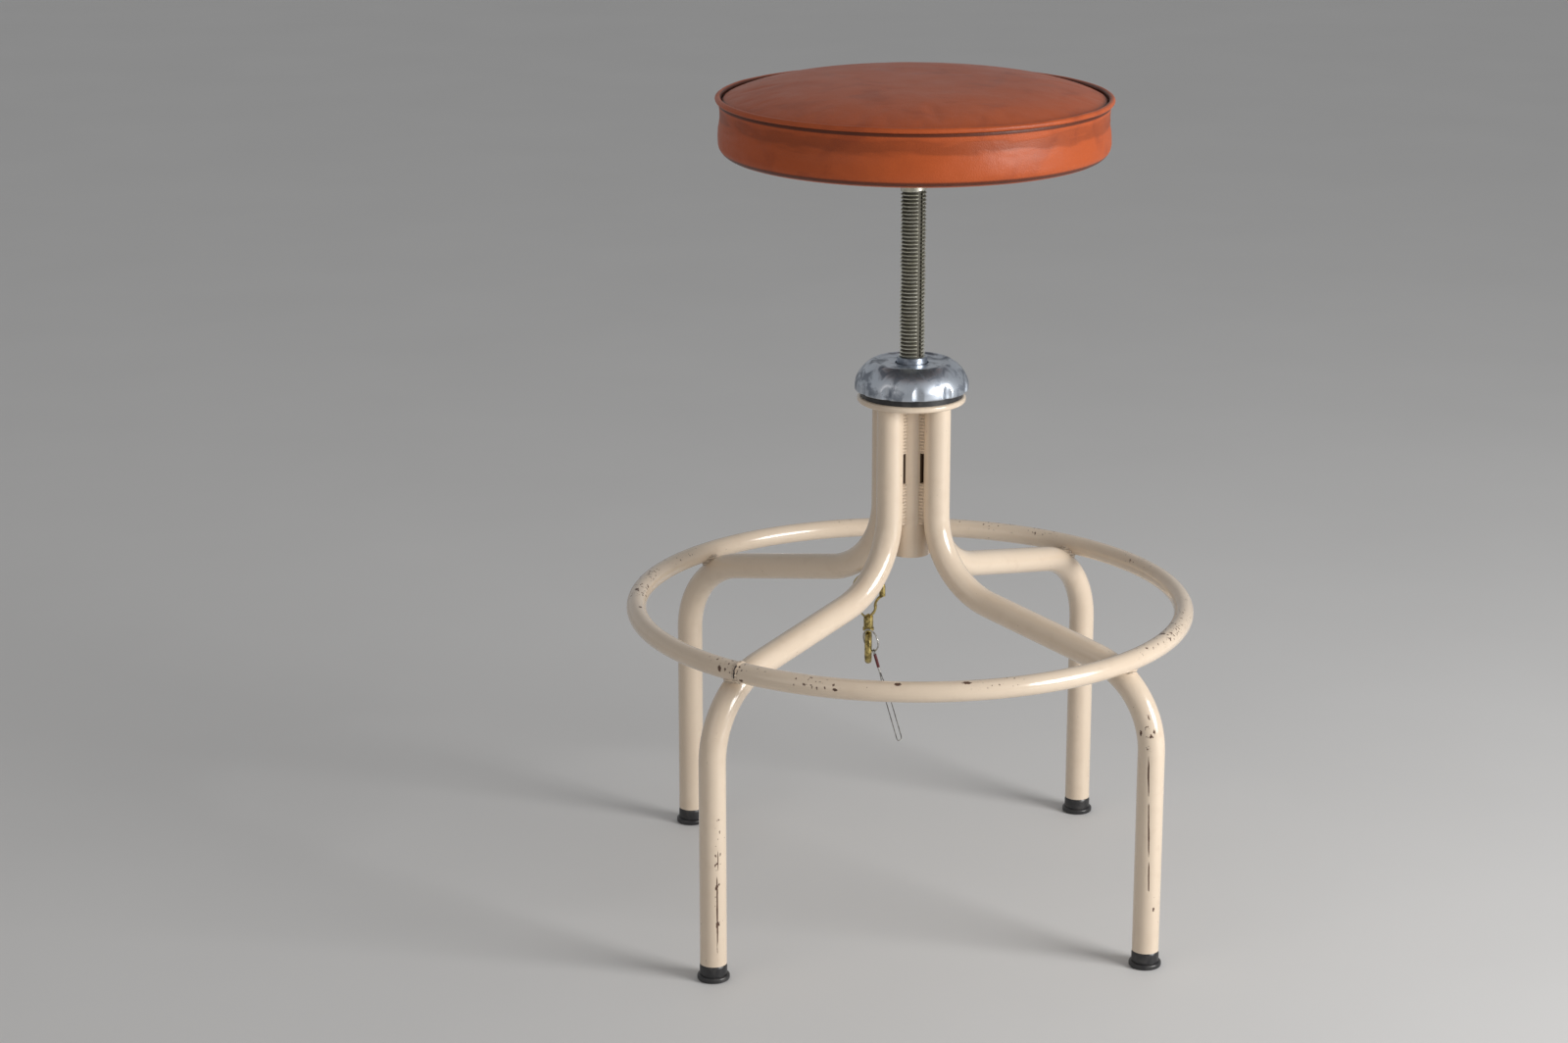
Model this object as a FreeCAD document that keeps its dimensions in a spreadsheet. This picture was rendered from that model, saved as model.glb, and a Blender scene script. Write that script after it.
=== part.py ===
import FreeCAD, Part
import math
import os
import re
import Sketcher
from FreeCAD import Vector

# Machinist stool: screw-lift seat on a welded tube frame with a foot ring. Millimetres, +Z up.
# The origin is on the floor, on the axis of the spindle. The front is -Y.

doc = FreeCAD.newDocument("stool")

# Driving sizes, in millimetres and degrees. A height is measured from the floor.
SIZES = {
    "leg_tube_diameter": "25.4",
    "leg_tube_wall": "2",
    "leg_bend_radius": "80",
    "leg_slope": "11",
    "upper_bend_height": "395",
    "foot_circle_radius": "288",
    "leg_first_azimuth": "45",
    "column_diameter": "38.1",
    "column_wall": "3.05",
    "column_bottom_height": "350",
    "plate_diameter": "104",
    "plate_thickness": "6",
    "plate_underside_height": "501",
    "plate_edge_radius": "2.5",
    "ring_tube_diameter": "19.05",
    "ring_tube_wall": "1.6",
    "ring_radius": "265",
    "ring_joint_gap": "0.4",
    "ring_joint_azimuth": "228",
    "ring_bead_width": "6",
    "ring_bead_height": "1.3",
    "ring_bead_gap": "0.03",
    "weld_gap": "0.2",
    "ring_weld_radius": "9",
    "ring_weld_root": "3",
    "leg_weld_reach": "8.5",
    "leg_weld_root": "2.5",
    "upper_weld_length": "47",
    "weld_slot_length": "30",
    "lower_weld_length": "41",
    "tip_height": "16",
    "tip_brim_diameter": "30.6",
    "tip_brim_height": "5.5",
    "tip_brim_round": "2",
    "tip_collar_diameter": "25.8",
    "tip_collar_taper": "0.9",
    "tip_collar_round": "6",
    "tip_collar_drop": "4",
    "tip_stem_length": "18",
    "push_clearance": "0.1",
    "spindle_diameter": "24.4",
    "spindle_bottom_height": "380",
    "thread_pitch": "3.6",
    "thread_depth": "1.9",
    "thread_root_flat": "0.8",
    "thread_flank_angle": "30",
    "thread_clearance": "0.25",
    "thread_runout": "6",
    "keyway_width": "5",
    "keyway_depth": "2.7",
    "keyway_azimuth": "298",
    "key_clearance": "0.3",
    "key_length": "20",
    "guide_clearance": "0.25",
    "guide_bottom_height": "430",
    "guide_length": "64",
    "stop_washer_diameter": "29",
    "stop_washer_thickness": "4",
    "stop_screw_diameter": "8",
    "stop_screw_length": "20",
    "stop_screw_head_diameter": "14",
    "stop_screw_head_height": "5",
    "wheel_gap": "6",
    "washer_diameter": "98",
    "washer_clearance": "0.4",
    "ball_diameter": "6.35",
    "ball_count": "14",
    "ball_circle_radius": "21",
    "ball_clearance": "0.05",
    "race_radius": "28",
    "race_thickness": "4",
    "race_groove_depth": "0.8",
    "race_bore_clearance": "1.5",
    "cage_thickness": "1.8",
    "cage_width": "8.4",
    "cage_clearance": "0.25",
    "nut_flange_radius": "27",
    "nut_flange_thickness": "5",
    "nut_hub_radius": "20",
    "nut_collar_radius": "14.5",
    "nut_collar_height": "5.5",
    "wheel_diameter": "109",
    "wheel_height": "28",
    "wheel_skirt_height": "7",
    "wheel_skirt_wall": "4",
    "wheel_shoulder_radius": "32",
    "wheel_dish_radius": "37.5",
    "wheel_dish_depth": "1.5",
    "wheel_web_thickness": "2",
    "flute_count": "11",
    "flute_radius": "7",
    "flute_depth": "2.4",
    "flute_azimuth": "270",
    "seat_underside_height": "740",
    "seat_radius": "183.5",
    "seat_band_height": "52",
    "seat_edge_radius": "12",
    "seat_crown_height": "20",
    "crown_shoulder_radius": "165",
    "crown_shoulder_height": "6",
    "crown_shoulder_bend": "40",
    "crown_middle_radius": "110",
    "crown_middle_height": "17.2",
    "crown_middle_bend": "248",
    "band_draw_in": "2",
    "band_bulge_height": "22",
    "welt_diameter": "5.5",
    "cover_thickness": "1.2",
    "cover_turn_under": "34",
    "upholstery_gap": "0.25",
    "board_radius": "171.5",
    "board_thickness": "12",
    "board_bore_radius": "16",
    "dust_cover_thickness": "0.6",
    "dust_cover_overlap": "15",
    "staple_count": "30",
    "staple_width": "10",
    "staple_wire": "0.7",
    "seat_plate_radius": "75",
    "seat_plate_thickness": "3",
    "plate_screw_circle_radius": "60",
    "plate_screw_count": "4",
    "plate_screw_diameter": "5",
    "plate_screw_length": "12",
    "plate_screw_head_diameter": "10",
    "plate_screw_head_height": "2.5",
    "hub_diameter": "36",
    "hub_length": "24",
    "journal_diameter": "18",
    "journal_clearance": "0.2",
    "thrust_washer_thickness": "2",
    "thrust_washer_diameter": "31",
    "swivel_gap": "0.2",
    "retaining_ring_diameter": "27",
    "retaining_ring_thickness": "1.5",
    "retaining_groove_depth": "0.8",
    "journal_end_length": "4",
    "snap_reach": "51",
    "snap_hang_gap": "0.2",
    "snap_azimuth": "135",
    "snap_facing": "-4.2",
    "eyelet_radius": "6.5",
    "eyelet_wire": "3",
    "eyelet_sink": "1.3",
    "snap_bar_diameter": "6",
    "snap_inner_width": "20.8",
    "snap_side_length": "8",
    "snap_throat_height": "21",
    "snap_lug_height": "11",
    "snap_gate_length": "15",
    "snap_gate_thickness": "5",
    "snap_tongue_thickness": "2.2",
    "snap_gate_gap": "0.5",
    "snap_rivet_diameter": "2",
    "snap_shank_diameter": "9.4",
    "snap_shank_length": "11.5",
    "snap_collar_diameter": "11",
    "snap_collar_height": "2.5",
    "eye_azimuth": "263.7",
    "eye_radius": "13",
    "eye_bar_diameter": "7",
    "eye_neck_length": "0.9",
    "eye_stem_diameter": "5",
    "eye_stem_length": "11",
    "eye_head_diameter": "7",
    "eye_clearance": "0.15",
    "key_ring_radius": "11",
    "key_ring_wire": "1.6",
    "key_ring_right": "2.6",
    "key_ring_back": "-10.9",
    "key_ring_up": "10.4",
    "key_ring_turn": "41.3",
    "key_ring_rise": "7.5",
    "hang_angle": "15",
    "bight_length": "3.5",
    "sleeve_diameter": "3",
    "sleeve_length": "14",
    "ferrule_diameter": "2.4",
    "ferrule_length": "5",
    "wire_diameter": "1",
    "strand_offset": "0.55",
    "crimp_clearance": "0.05",
    "wire_loop_length": "74",
    "wire_loop_spread": "24",
    "wire_loop_radius": "3",
    "wire_loop_tilt": "15.9",
}

UPRIGHT = "0; 0; 1"
SIDEWAYS = "0; 1; 0"

# Places worked out from the sizes.
PLACES = {
    "leg_radius": "leg_tube_diameter / 2",
    "column_radius": "column_diameter / 2",
    "column_bore_radius": "column_radius - column_wall",
    "leg_offset": "column_radius + leg_radius + weld_gap",
    "leg_steepness": "90 - leg_slope",
    "bend_run": "leg_bend_radius * (1 - cos(leg_steepness))",
    "bend_drop": "leg_bend_radius * sin(leg_steepness)",
    "slope_run": "foot_circle_radius - leg_offset - 2 * bend_run",
    "slope_drop": "slope_run / tan(leg_steepness)",
    "lower_bend_height": "upper_bend_height - 2 * bend_drop - slope_drop",
    "lower_bend_place": "foot_circle_radius - leg_bend_radius",
    "ring_tube_radius": "ring_tube_diameter / 2",
    "ring_stand_off": "leg_bend_radius + leg_radius + ring_tube_radius + weld_gap",
    "ring_side_step": "ring_radius - lower_bend_place",
    "ring_lean": "asin(ring_side_step / ring_stand_off)",
    "ring_height": "lower_bend_height + sqrt(ring_stand_off ^ 2 - ring_side_step ^ 2)",
    "plate_top_height": "plate_underside_height + plate_thickness",
    "spindle_radius": "spindle_diameter / 2",
    "thread_root_radius": "spindle_radius - thread_depth",
    "thread_start": "spindle_bottom_height - thread_pitch",
    "race_bore_radius": "spindle_radius + race_bore_clearance",
    "lower_race_top": "plate_top_height + race_thickness",
    "groove_radius": "ball_diameter / 2 + ball_clearance",
    "ball_height": "lower_race_top + groove_radius - race_groove_depth",
    "upper_race_bottom": "ball_height + groove_radius - race_groove_depth",
    "nut_bottom": "upper_race_bottom + race_thickness",
    "nut_flange_top": "nut_bottom + nut_flange_thickness",
    "wheel_rim_height": "plate_top_height + wheel_gap",
    "wheel_top_height": "wheel_rim_height + wheel_height",
    "wheel_dish_height": "wheel_top_height - wheel_dish_depth",
    "wheel_web_height": "wheel_dish_height - wheel_web_thickness",
    "wheel_radius": "wheel_diameter / 2",
    "wheel_inner_radius": "wheel_radius - wheel_skirt_wall",
    "nut_top": "wheel_dish_height + nut_collar_height",
    "cover_top_of_turn": "seat_underside_height + cover_thickness",
    "board_top": "cover_top_of_turn + board_thickness",
    "welt_height": "seat_underside_height + seat_band_height",
    "welt_radius": "welt_diameter / 2",
    "band_top": "welt_height - welt_radius - upholstery_gap",
    "band_radius": "seat_radius + 0.3 * cover_thickness",
    "band_low": "seat_underside_height + seat_edge_radius",
    "band_bulge_place": "seat_underside_height + band_bulge_height",
    "band_chord": "band_top - band_bulge_place",
    "band_bend": "(band_chord ^ 2 / 4 + band_draw_in ^ 2) / (2 * band_draw_in)",
    "turn_radius": "band_radius - seat_edge_radius",
    "turn_end_radius": "band_radius - cover_turn_under",
    "crown_edge_radius": "seat_radius - welt_radius - upholstery_gap",
    "crown_top_rise": "seat_crown_height - crown_middle_height",
    "crown_top_bend": "(crown_middle_radius ^ 2 + crown_top_rise ^ 2) / (2 * crown_top_rise)",
    "seat_plate_bottom": "cover_top_of_turn - seat_plate_thickness",
    "hub_bottom": "seat_plate_bottom - hub_length",
    "thrust_washer_bottom": "hub_bottom - swivel_gap - thrust_washer_thickness",
    "journal_radius": "journal_diameter / 2",
    "retaining_ring_bottom": "cover_top_of_turn + swivel_gap",
    "retaining_ring_top": "retaining_ring_bottom + retaining_ring_thickness",
    "journal_top": "retaining_ring_top + journal_end_length",
    "snap_bar_radius": "snap_bar_diameter / 2",
    "snap_bow_radius": "snap_inner_width / 2 + snap_bar_radius",
    "snap_bend_side": "leg_bend_radius + leg_offset - snap_reach",
    "snap_leg_bottom": "upper_bend_height - sqrt((leg_bend_radius + leg_radius) ^ 2 - snap_bend_side ^ 2)",
    "eyelet_height": "snap_leg_bottom + eyelet_sink - eyelet_radius - eyelet_wire / 2",
    "snap_bow_top": "eyelet_height - eyelet_radius + eyelet_wire / 2 + snap_hang_gap + snap_bar_radius",
    "snap_bow_height": "snap_bow_top - snap_bow_radius",
    "snap_side_bottom": "snap_bow_height - snap_side_length",
    "snap_shank_top": "snap_side_bottom - snap_throat_height",
    "snap_lug_bottom": "snap_shank_top + snap_lug_height",
    "snap_shank_bottom": "snap_shank_top - snap_shank_length",
    "snap_collar_bottom": "snap_shank_bottom - snap_collar_height",
    "eye_neck_top": "snap_collar_bottom - eye_clearance",
    "eye_stem_top": "eye_neck_top + eye_stem_length",
    "eye_height": "eye_neck_top - eye_neck_length - eye_radius - eye_bar_diameter / 2",
    "hang_drop": "key_ring_radius * cos(hang_angle)",
    "hang_side": "key_ring_radius * sin(hang_angle)",
    "hang_out": "hang_drop * sin(key_ring_rise)",
    "hang_right": "key_ring_right + hang_out * cos(key_ring_turn) + hang_side * sin(key_ring_turn)",
    "hang_back": "key_ring_back + hang_out * sin(key_ring_turn) - hang_side * cos(key_ring_turn)",
    "hang_up": "key_ring_up - hang_drop * cos(key_ring_rise)",
    "bight_radius": "key_ring_wire / 2 + eye_clearance + wire_diameter / 2",
}


def build_sheets():
    """Put the sizes and the places on two sheets and say which sheet each name stands on."""
    sheet_of = {}
    sizes_sheet = doc.addObject("Spreadsheet::Sheet", "Sizes")
    for row, (name, number) in enumerate(SIZES.items(), start=1):
        sizes_sheet.set(f"A{row}", name.replace("_", " "))
        sizes_sheet.set(f"B{row}", number)
        sizes_sheet.setAlias(f"B{row}", name)
        sheet_of[name] = "Sizes."
    places_sheet = doc.addObject("Spreadsheet::Sheet", "Places")
    for row, (name, text) in enumerate(PLACES.items(), start=1):
        sheet_of[name] = "Places."
        places_sheet.setAlias(f"B{row}", name)
        places_sheet.set(f"A{row}", name.replace("_", " "))
        places_sheet.set(f"B{row}", "=" + with_sheets(text, sheet_of))
    doc.recompute()
    return sheet_of, places_sheet


def with_sheets(text, sheet_of):
    """Write the sheet's name before each size and place in a formula."""
    return re.sub(r"[a-z_]+", lambda word: sheet_of.get(word[0], "") + word[0], text)


SHEET_OF, places = build_sheets()


def formula(text):
    return with_sheets(text, SHEET_OF)


def value(text):
    """The number that a formula gives now."""
    result = places.evalExpression(formula(text))
    return float(getattr(result, "Value", result))


def bind(thing, path, text):
    thing.setExpression(path, formula(text))


def turning(axis, angle):
    """The formula of a turn about an axis that is written as three numbers."""
    return f"rotation(vector({axis}); {angle})"


def place(thing, across, along, up, *turns):
    """Bind the place of a piece; the turns are made from the last to the first."""
    rotation = " * ".join(turns) or turning(UPRIGHT, "0")
    bind(thing, "Placement", f"placement(vector({across}; {along}; {up}); {rotation})")


def make_body(name, turn=None):
    """A body of the document, turned about the spindle's axis where turn gives an angle."""
    body = doc.addObject("PartDesign::Body", name)
    body.Label = name
    if turn:
        place(body, "0", "0", "0", turning(UPRIGHT, turn))
    return body


def make_sketch(body, name, role, height=None):
    """A sketch on one of the body's own origin planes, raised where height is given."""
    sketch = body.newObject("Sketcher::SketchObject", body.Name + "_" + name)
    plane = [item for item in body.Origin.OriginFeatures if item.Role == role][0]
    sketch.AttachmentSupport = (plane, [""])
    sketch.MapMode = "FlatFace"
    if height:
        bind(sketch, "AttachmentOffset.Base.z", height)
    return sketch


def hold_point(sketch, edge, end, across, up):
    """Tie the end of an edge to two formulas."""
    for kind, text, axis in (("DistanceX", across, -2), ("DistanceY", up, -1)):
        number = value(text)
        if abs(number) < 1e-9:
            sketch.addConstraint(Sketcher.Constraint("PointOnObject", edge, end, axis))
            continue
        index = sketch.addConstraint(Sketcher.Constraint(kind, -1, 1, edge, end, number))
        bind(sketch, f"Constraints[{index}]", text)


def arc_between(start, finish, radius, left):
    """The short arc from start to finish; left says that it turns to the left."""
    chord = finish - start
    side = Vector(-chord.y, chord.x, 0).normalize()
    rise = math.sqrt(max(radius ** 2 - chord.Length ** 2 / 4, 0))
    centre = (start + finish) / 2 + side * (rise if left else -rise)
    first, last = (start, finish) if left else (finish, start)
    angles = [math.atan2(point.y - centre.y, point.x - centre.x) for point in (first, last)]
    return Part.ArcOfCircle(Part.Circle(centre, Vector(0, 0, 1), radius), *angles)


def draw_path(sketch, corners, closed=True):
    """Draw sides from corner to corner.

    A corner is (across, up), and the side that starts there is straight. With a third entry
    that side is an arc: its radius, with a minus sign before it where it turns to the right.
    """
    points = [Vector(value(corner[0]), value(corner[1]), 0) for corner in corners]
    sides = len(corners) if closed else len(corners) - 1
    ends = []
    for index in range(sides):
        start, finish = points[index], points[(index + 1) % len(points)]
        bend = corners[index][2] if len(corners[index]) > 2 else None
        if bend is None:
            edge = sketch.addGeometry(Part.LineSegment(start, finish))
            ends.append((edge, 1, 2))
        else:
            left = not bend.startswith("-")
            radius = bend.lstrip("-")
            edge = sketch.addGeometry(arc_between(start, finish, value(radius), left))
            ends.append((edge, 1, 2) if left else (edge, 2, 1))
            constraint = sketch.addConstraint(Sketcher.Constraint("Radius", edge, value(radius)))
            bind(sketch, f"Constraints[{constraint}]", radius)
        hold_point(sketch, edge, ends[-1][1], *corners[index][:2])
    for index in range(1, sides):
        before, here = ends[index - 1], ends[index]
        sketch.addConstraint(Sketcher.Constraint("Coincident", before[0], before[2], here[0], here[1]))
    if closed:
        sketch.addConstraint(
            Sketcher.Constraint("Coincident", ends[-1][0], ends[-1][2], ends[0][0], ends[0][1]))
    else:
        hold_point(sketch, ends[-1][0], ends[-1][2], *corners[-1][:2])


def draw_circle(sketch, radius, across="0", up="0"):
    centre = Vector(value(across), value(up), 0)
    edge = sketch.addGeometry(Part.Circle(centre, Vector(0, 0, 1), value(radius)))
    constraint = sketch.addConstraint(Sketcher.Constraint("Radius", edge, value(radius)))
    bind(sketch, f"Constraints[{constraint}]", radius)
    hold_point(sketch, edge, 3, across, up)


def draw_axis(sketch, start, finish):
    """A construction line that a profile of the sketch can be turned about."""
    ends = [Vector(value(across), value(up), 0) for across, up in (start, finish)]
    edge = sketch.addGeometry(Part.LineSegment(*ends), True)
    hold_point(sketch, edge, 1, *start)
    hold_point(sketch, edge, 2, *finish)


def turn_profile(body, sketch, angle=None, axis="V_Axis"):
    revolution = body.newObject("PartDesign::Revolution", body.Name + "_turned")
    revolution.Profile = sketch
    revolution.ReferenceAxis = (sketch, [axis])
    revolution.Angle = 360
    if angle:
        bind(revolution, "Angle", angle)
    return revolution


def turned(name, corners, turn=None):
    """A piece turned from one closed outline of (radius, height) corners."""
    body = make_body(name, turn)
    sketch = make_sketch(body, "outline", "XZ_Plane")
    draw_path(sketch, corners)
    turn_profile(body, sketch)
    return body


def box_corners(inner, outer, low, high):
    return [(inner, low), (outer, low), (outer, high), (inner, high)]


def pad(body, sketch, length, name="pad"):
    feature = body.newObject("PartDesign::Pad", body.Name + "_" + name)
    feature.Profile = sketch
    bind(feature, "Length", length)
    return feature


def pocket(body, sketch, length, name="pocket"):
    """A pocket that runs up from its sketch."""
    feature = body.newObject("PartDesign::Pocket", body.Name + "_" + name)
    feature.Profile = sketch
    feature.Reversed = True
    bind(feature, "Length", length)
    return feature


def repeat_around(body, feature, sketch, count):
    pattern = body.newObject("PartDesign::PolarPattern", body.Name + "_pattern")
    pattern.Originals = [feature]
    pattern.Axis = (sketch, ["N_Axis"])
    pattern.Angle = 360
    bind(pattern, "Occurrences", count)
    body.Tip = pattern


def pipe_along(body, path, section):
    pipe = body.newObject("PartDesign::AdditivePipe", body.Name + "_pipe")
    pipe.Profile = section
    pipe.Spine = (path, [f"Edge{index + 1}" for index in range(path.GeometryCount)])
    return pipe


def middle_pad(body, sketch, length, name="middle_pad"):
    """A pad that runs as far to each side of its sketch."""
    feature = pad(body, sketch, length, name)
    feature.Midplane = True


def middle_pocket(body, sketch, length, name="middle_pocket"):
    """A pocket that runs as far to each side of its sketch."""
    feature = pocket(body, sketch, length, name)
    feature.Midplane = True


def group(name, sources, azimuths):
    """One node that holds a copy of each source at each azimuth about the spindle's axis."""
    links = []
    for source in sources:
        for azimuth in azimuths:
            link = doc.addObject("App::Link", f"{name}_copy")
            link.LinkedObject = source
            link.LinkTransform = True
            place(link, "0", "0", "0", turning(UPRIGHT, azimuth))
            links.append(link)
    compound = doc.addObject("Part::Compound", name)
    compound.Label = name
    compound.Links = links
    return compound


LEG_AZIMUTHS = [f"leg_first_azimuth + {turn}" for turn in (0, 90, 180, 270)]
LEG_PLACES = dict(zip(("rear_right", "rear_left", "front_left", "front_right"), LEG_AZIMUTHS))


def column():
    """Straight tube that the legs are welded round; its lower end is open."""
    turned("centre_tube", box_corners("column_bore_radius", "column_radius",
                                      "column_bottom_height", "plate_underside_height"))


def leg(name, azimuth):
    """Bent tube: down beside the column, out along a slope and down to the floor."""
    body = make_body(name, azimuth)
    path = make_sketch(body, "path", "XZ_Plane")
    draw_path(path, [
        ("leg_offset", "plate_underside_height"),
        ("leg_offset", "upper_bend_height", "leg_bend_radius"),
        ("leg_offset + bend_run", "upper_bend_height - bend_drop"),
        ("foot_circle_radius - bend_run", "lower_bend_height + bend_drop", "-leg_bend_radius"),
        ("foot_circle_radius", "lower_bend_height"),
        ("foot_circle_radius", "tip_height"),
    ], closed=False)
    section = make_sketch(body, "section", "XY_Plane", "plate_underside_height")
    draw_circle(section, "leg_radius", "leg_offset")
    draw_circle(section, "leg_radius - leg_tube_wall", "leg_offset")
    pipe_along(body, path, section)


def foot_tip(name, azimuth):
    """Rubber foot: round brim and domed collar, with a stem pushed into the leg."""
    brim, collar = "tip_brim_diameter / 2", "tip_collar_diameter / 2"
    stem = "leg_radius - leg_tube_wall - push_clearance"
    body = turned(name, [
        ("0", "0"),
        (f"{brim} - tip_brim_round", "0", "tip_brim_round"),
        (brim, "tip_brim_round"),
        (brim, "tip_brim_height - tip_brim_round", "tip_brim_round"),
        (f"{brim} - tip_brim_round", "tip_brim_height"),
        (collar, "tip_brim_height"),
        (collar, "tip_height - tip_collar_drop", "tip_collar_round"),
        (f"{collar} - tip_collar_taper", "tip_height"),
        (stem, "tip_height"),
        (stem, "tip_height + tip_stem_length"),
        ("0", "tip_height + tip_stem_length"),
    ])
    place(body, f"foot_circle_radius * cos({azimuth})", f"foot_circle_radius * sin({azimuth})", "0")


def top_plate():
    """Round plate on the leg tops, with a rounded rim and a hole for the spindle."""
    rim = "plate_diameter / 2"
    turned("top_plate", [
        ("race_bore_radius", "plate_underside_height"),
        (f"{rim} - plate_edge_radius", "plate_underside_height", "plate_edge_radius"),
        (rim, "plate_underside_height + plate_edge_radius"),
        (rim, "plate_top_height - plate_edge_radius", "plate_edge_radius"),
        (f"{rim} - plate_edge_radius", "plate_top_height"),
        ("race_bore_radius", "plate_top_height"),
    ])


def foot_ring():
    """Bent tube with its two ends butted, and the weld bead round the joint."""
    turn = "ring_joint_azimuth"
    ring = make_body("foot_ring", turn)
    section = make_sketch(ring, "section", "XZ_Plane")
    draw_circle(section, "ring_tube_radius", "ring_radius", "ring_height")
    draw_circle(section, "ring_tube_radius - ring_tube_wall", "ring_radius", "ring_height")
    turn_profile(ring, section, "360 - ring_joint_gap / ring_radius * 180 / pi")
    bead = make_body("ring_butt_weld", turn)
    outline = make_sketch(bead, "outline", "XY_Plane", "ring_height")
    half = "ring_bead_width / 2"
    foot = "ring_radius + ring_tube_radius + ring_bead_gap"
    bulge = f"(({half}) ^ 2 + ring_bead_height ^ 2) / (2 * ring_bead_height)"
    draw_path(outline, [(foot, f"-{half}", bulge), (foot, half)])
    draw_axis(outline, ("ring_radius", "-1"), ("ring_radius", "1"))
    turn_profile(bead, outline, axis="Axis0")


def ring_welds():
    """Collar of weld metal between the foot ring and the top of each leg's lower bend."""
    ball = doc.addObject("Part::Sphere", "weld_ball")
    bind(ball, "Radius", "ring_weld_radius")
    reach = "(leg_bend_radius + leg_radius + weld_gap / 2)"
    across = f"lower_bend_place + {reach} * sin(ring_lean)"
    up = f"lower_bend_height + {reach} * cos(ring_lean)"
    root = doc.addObject("Part::Cylinder", "weld_root")
    bind(root, "Radius", "ring_weld_root")
    bind(root, "Height", "4 * ring_weld_radius")
    drop = "2 * ring_weld_radius"
    place(root, f"{across} - {drop} * sin(ring_lean)", "0", f"{up} - {drop} * cos(ring_lean)",
          turning(SIDEWAYS, "ring_lean"))
    place(ball, across, "0", up)
    ring = doc.addObject("Part::Torus", "ring_outside")
    bind(ring, "Radius1", "ring_radius")
    bind(ring, "Radius2", "ring_tube_radius")
    place(ring, "0", "0", "ring_height")
    bend = doc.addObject("Part::Torus", "bend_outside")
    bind(bend, "Radius1", "leg_bend_radius")
    bind(bend, "Radius2", "leg_radius")
    place(bend, "lower_bend_place", "0", "lower_bend_height", turning("1; 0; 0", "90"))
    collar = ball
    for tool in (root, ring, bend):
        cut = doc.addObject("Part::Cut", "weld_collar")
        cut.Base = collar
        cut.Tool = tool
        collar = cut
    group("ring_welds", [collar], LEG_AZIMUTHS)


def leg_welds():
    """Two runs of weld on each side of each leg, in the groove between leg and column."""
    def on_column(side):
        return f"sqrt(column_radius ^ 2 - {side} ^ 2)"

    def on_leg(side):
        return f"leg_offset - sqrt(leg_radius ^ 2 - {side} ^ 2)"

    upper_bottom = "plate_underside_height - upper_weld_length"
    lower_bottom = f"{upper_bottom} - weld_slot_length - lower_weld_length"
    runs = []
    for side, sign, bend in (("left", "", "-"), ("right", "-", "")):
        for level, bottom, length in (("upper", upper_bottom, "upper_weld_length"),
                                      ("lower", lower_bottom, "lower_weld_length")):
            body = make_body(f"weld_run_{side}_{level}")
            sketch = make_sketch(body, "outline", "XY_Plane", bottom)
            draw_path(sketch, [
                (on_column("leg_weld_reach"), f"{sign}leg_weld_reach", f"{bend}column_radius"),
                (on_column("leg_weld_root"), f"{sign}leg_weld_root"),
                (on_leg("leg_weld_root"), f"{sign}leg_weld_root", f"{bend}leg_radius"),
                (on_leg("leg_weld_reach"), f"{sign}leg_weld_reach"),
            ])
            pad(body, sketch, length)
            runs.append(body)
    group("leg_welds", runs, LEG_AZIMUTHS)


def guide():
    """Bush pressed into the column, and the key that keeps the spindle from turning."""
    top = "guide_bottom_height + guide_length"
    key_bottom = f"{top} - key_length"
    half_slot = "(keyway_width / 2 - key_clearance + push_clearance)"
    outside = "column_bore_radius - push_clearance"
    bore = "spindle_radius + guide_clearance"
    bush = turned("guide_bush", box_corners(bore, outside, "guide_bottom_height", top), "keyway_azimuth")
    slot = make_sketch(bush, "slot", "XY_Plane", key_bottom)
    draw_path(slot, [("thread_root_radius", f"-{half_slot}"), ("column_radius", f"-{half_slot}"),
                     ("column_radius", half_slot), ("thread_root_radius", half_slot)])
    pocket(bush, slot, "key_length + thread_pitch")
    key = make_body("spindle_key", "keyway_azimuth")
    section = make_sketch(key, "section", "XY_Plane", f"{key_bottom} + push_clearance")
    half_key = "(keyway_width / 2 - key_clearance)"
    nose = "spindle_radius - keyway_depth + key_clearance"
    draw_path(section, [(nose, f"-{half_key}"), (outside, f"-{half_key}"),
                        (outside, half_key), (nose, half_key)])
    pad(key, section, "key_length - push_clearance")


def cut_thread(body, inner, outer, inner_half, outer_half, start, height):
    """Cut a right-hand helical groove whose section is a trapezium."""
    section = make_sketch(body, "groove", "XZ_Plane")
    draw_path(section, [(inner, f"{start} - ({inner_half})"), (outer, f"{start} - ({outer_half})"),
                        (outer, f"{start} + {outer_half}"), (inner, f"{start} + {inner_half}")])
    helix = body.newObject("PartDesign::SubtractiveHelix", body.Name + "_thread")
    helix.Profile = section
    helix.ReferenceAxis = (section, ["V_Axis"])
    helix.Mode = "pitch-height-angle"
    bind(helix, "Pitch", "thread_pitch")
    bind(helix, "Height", height)


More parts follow.
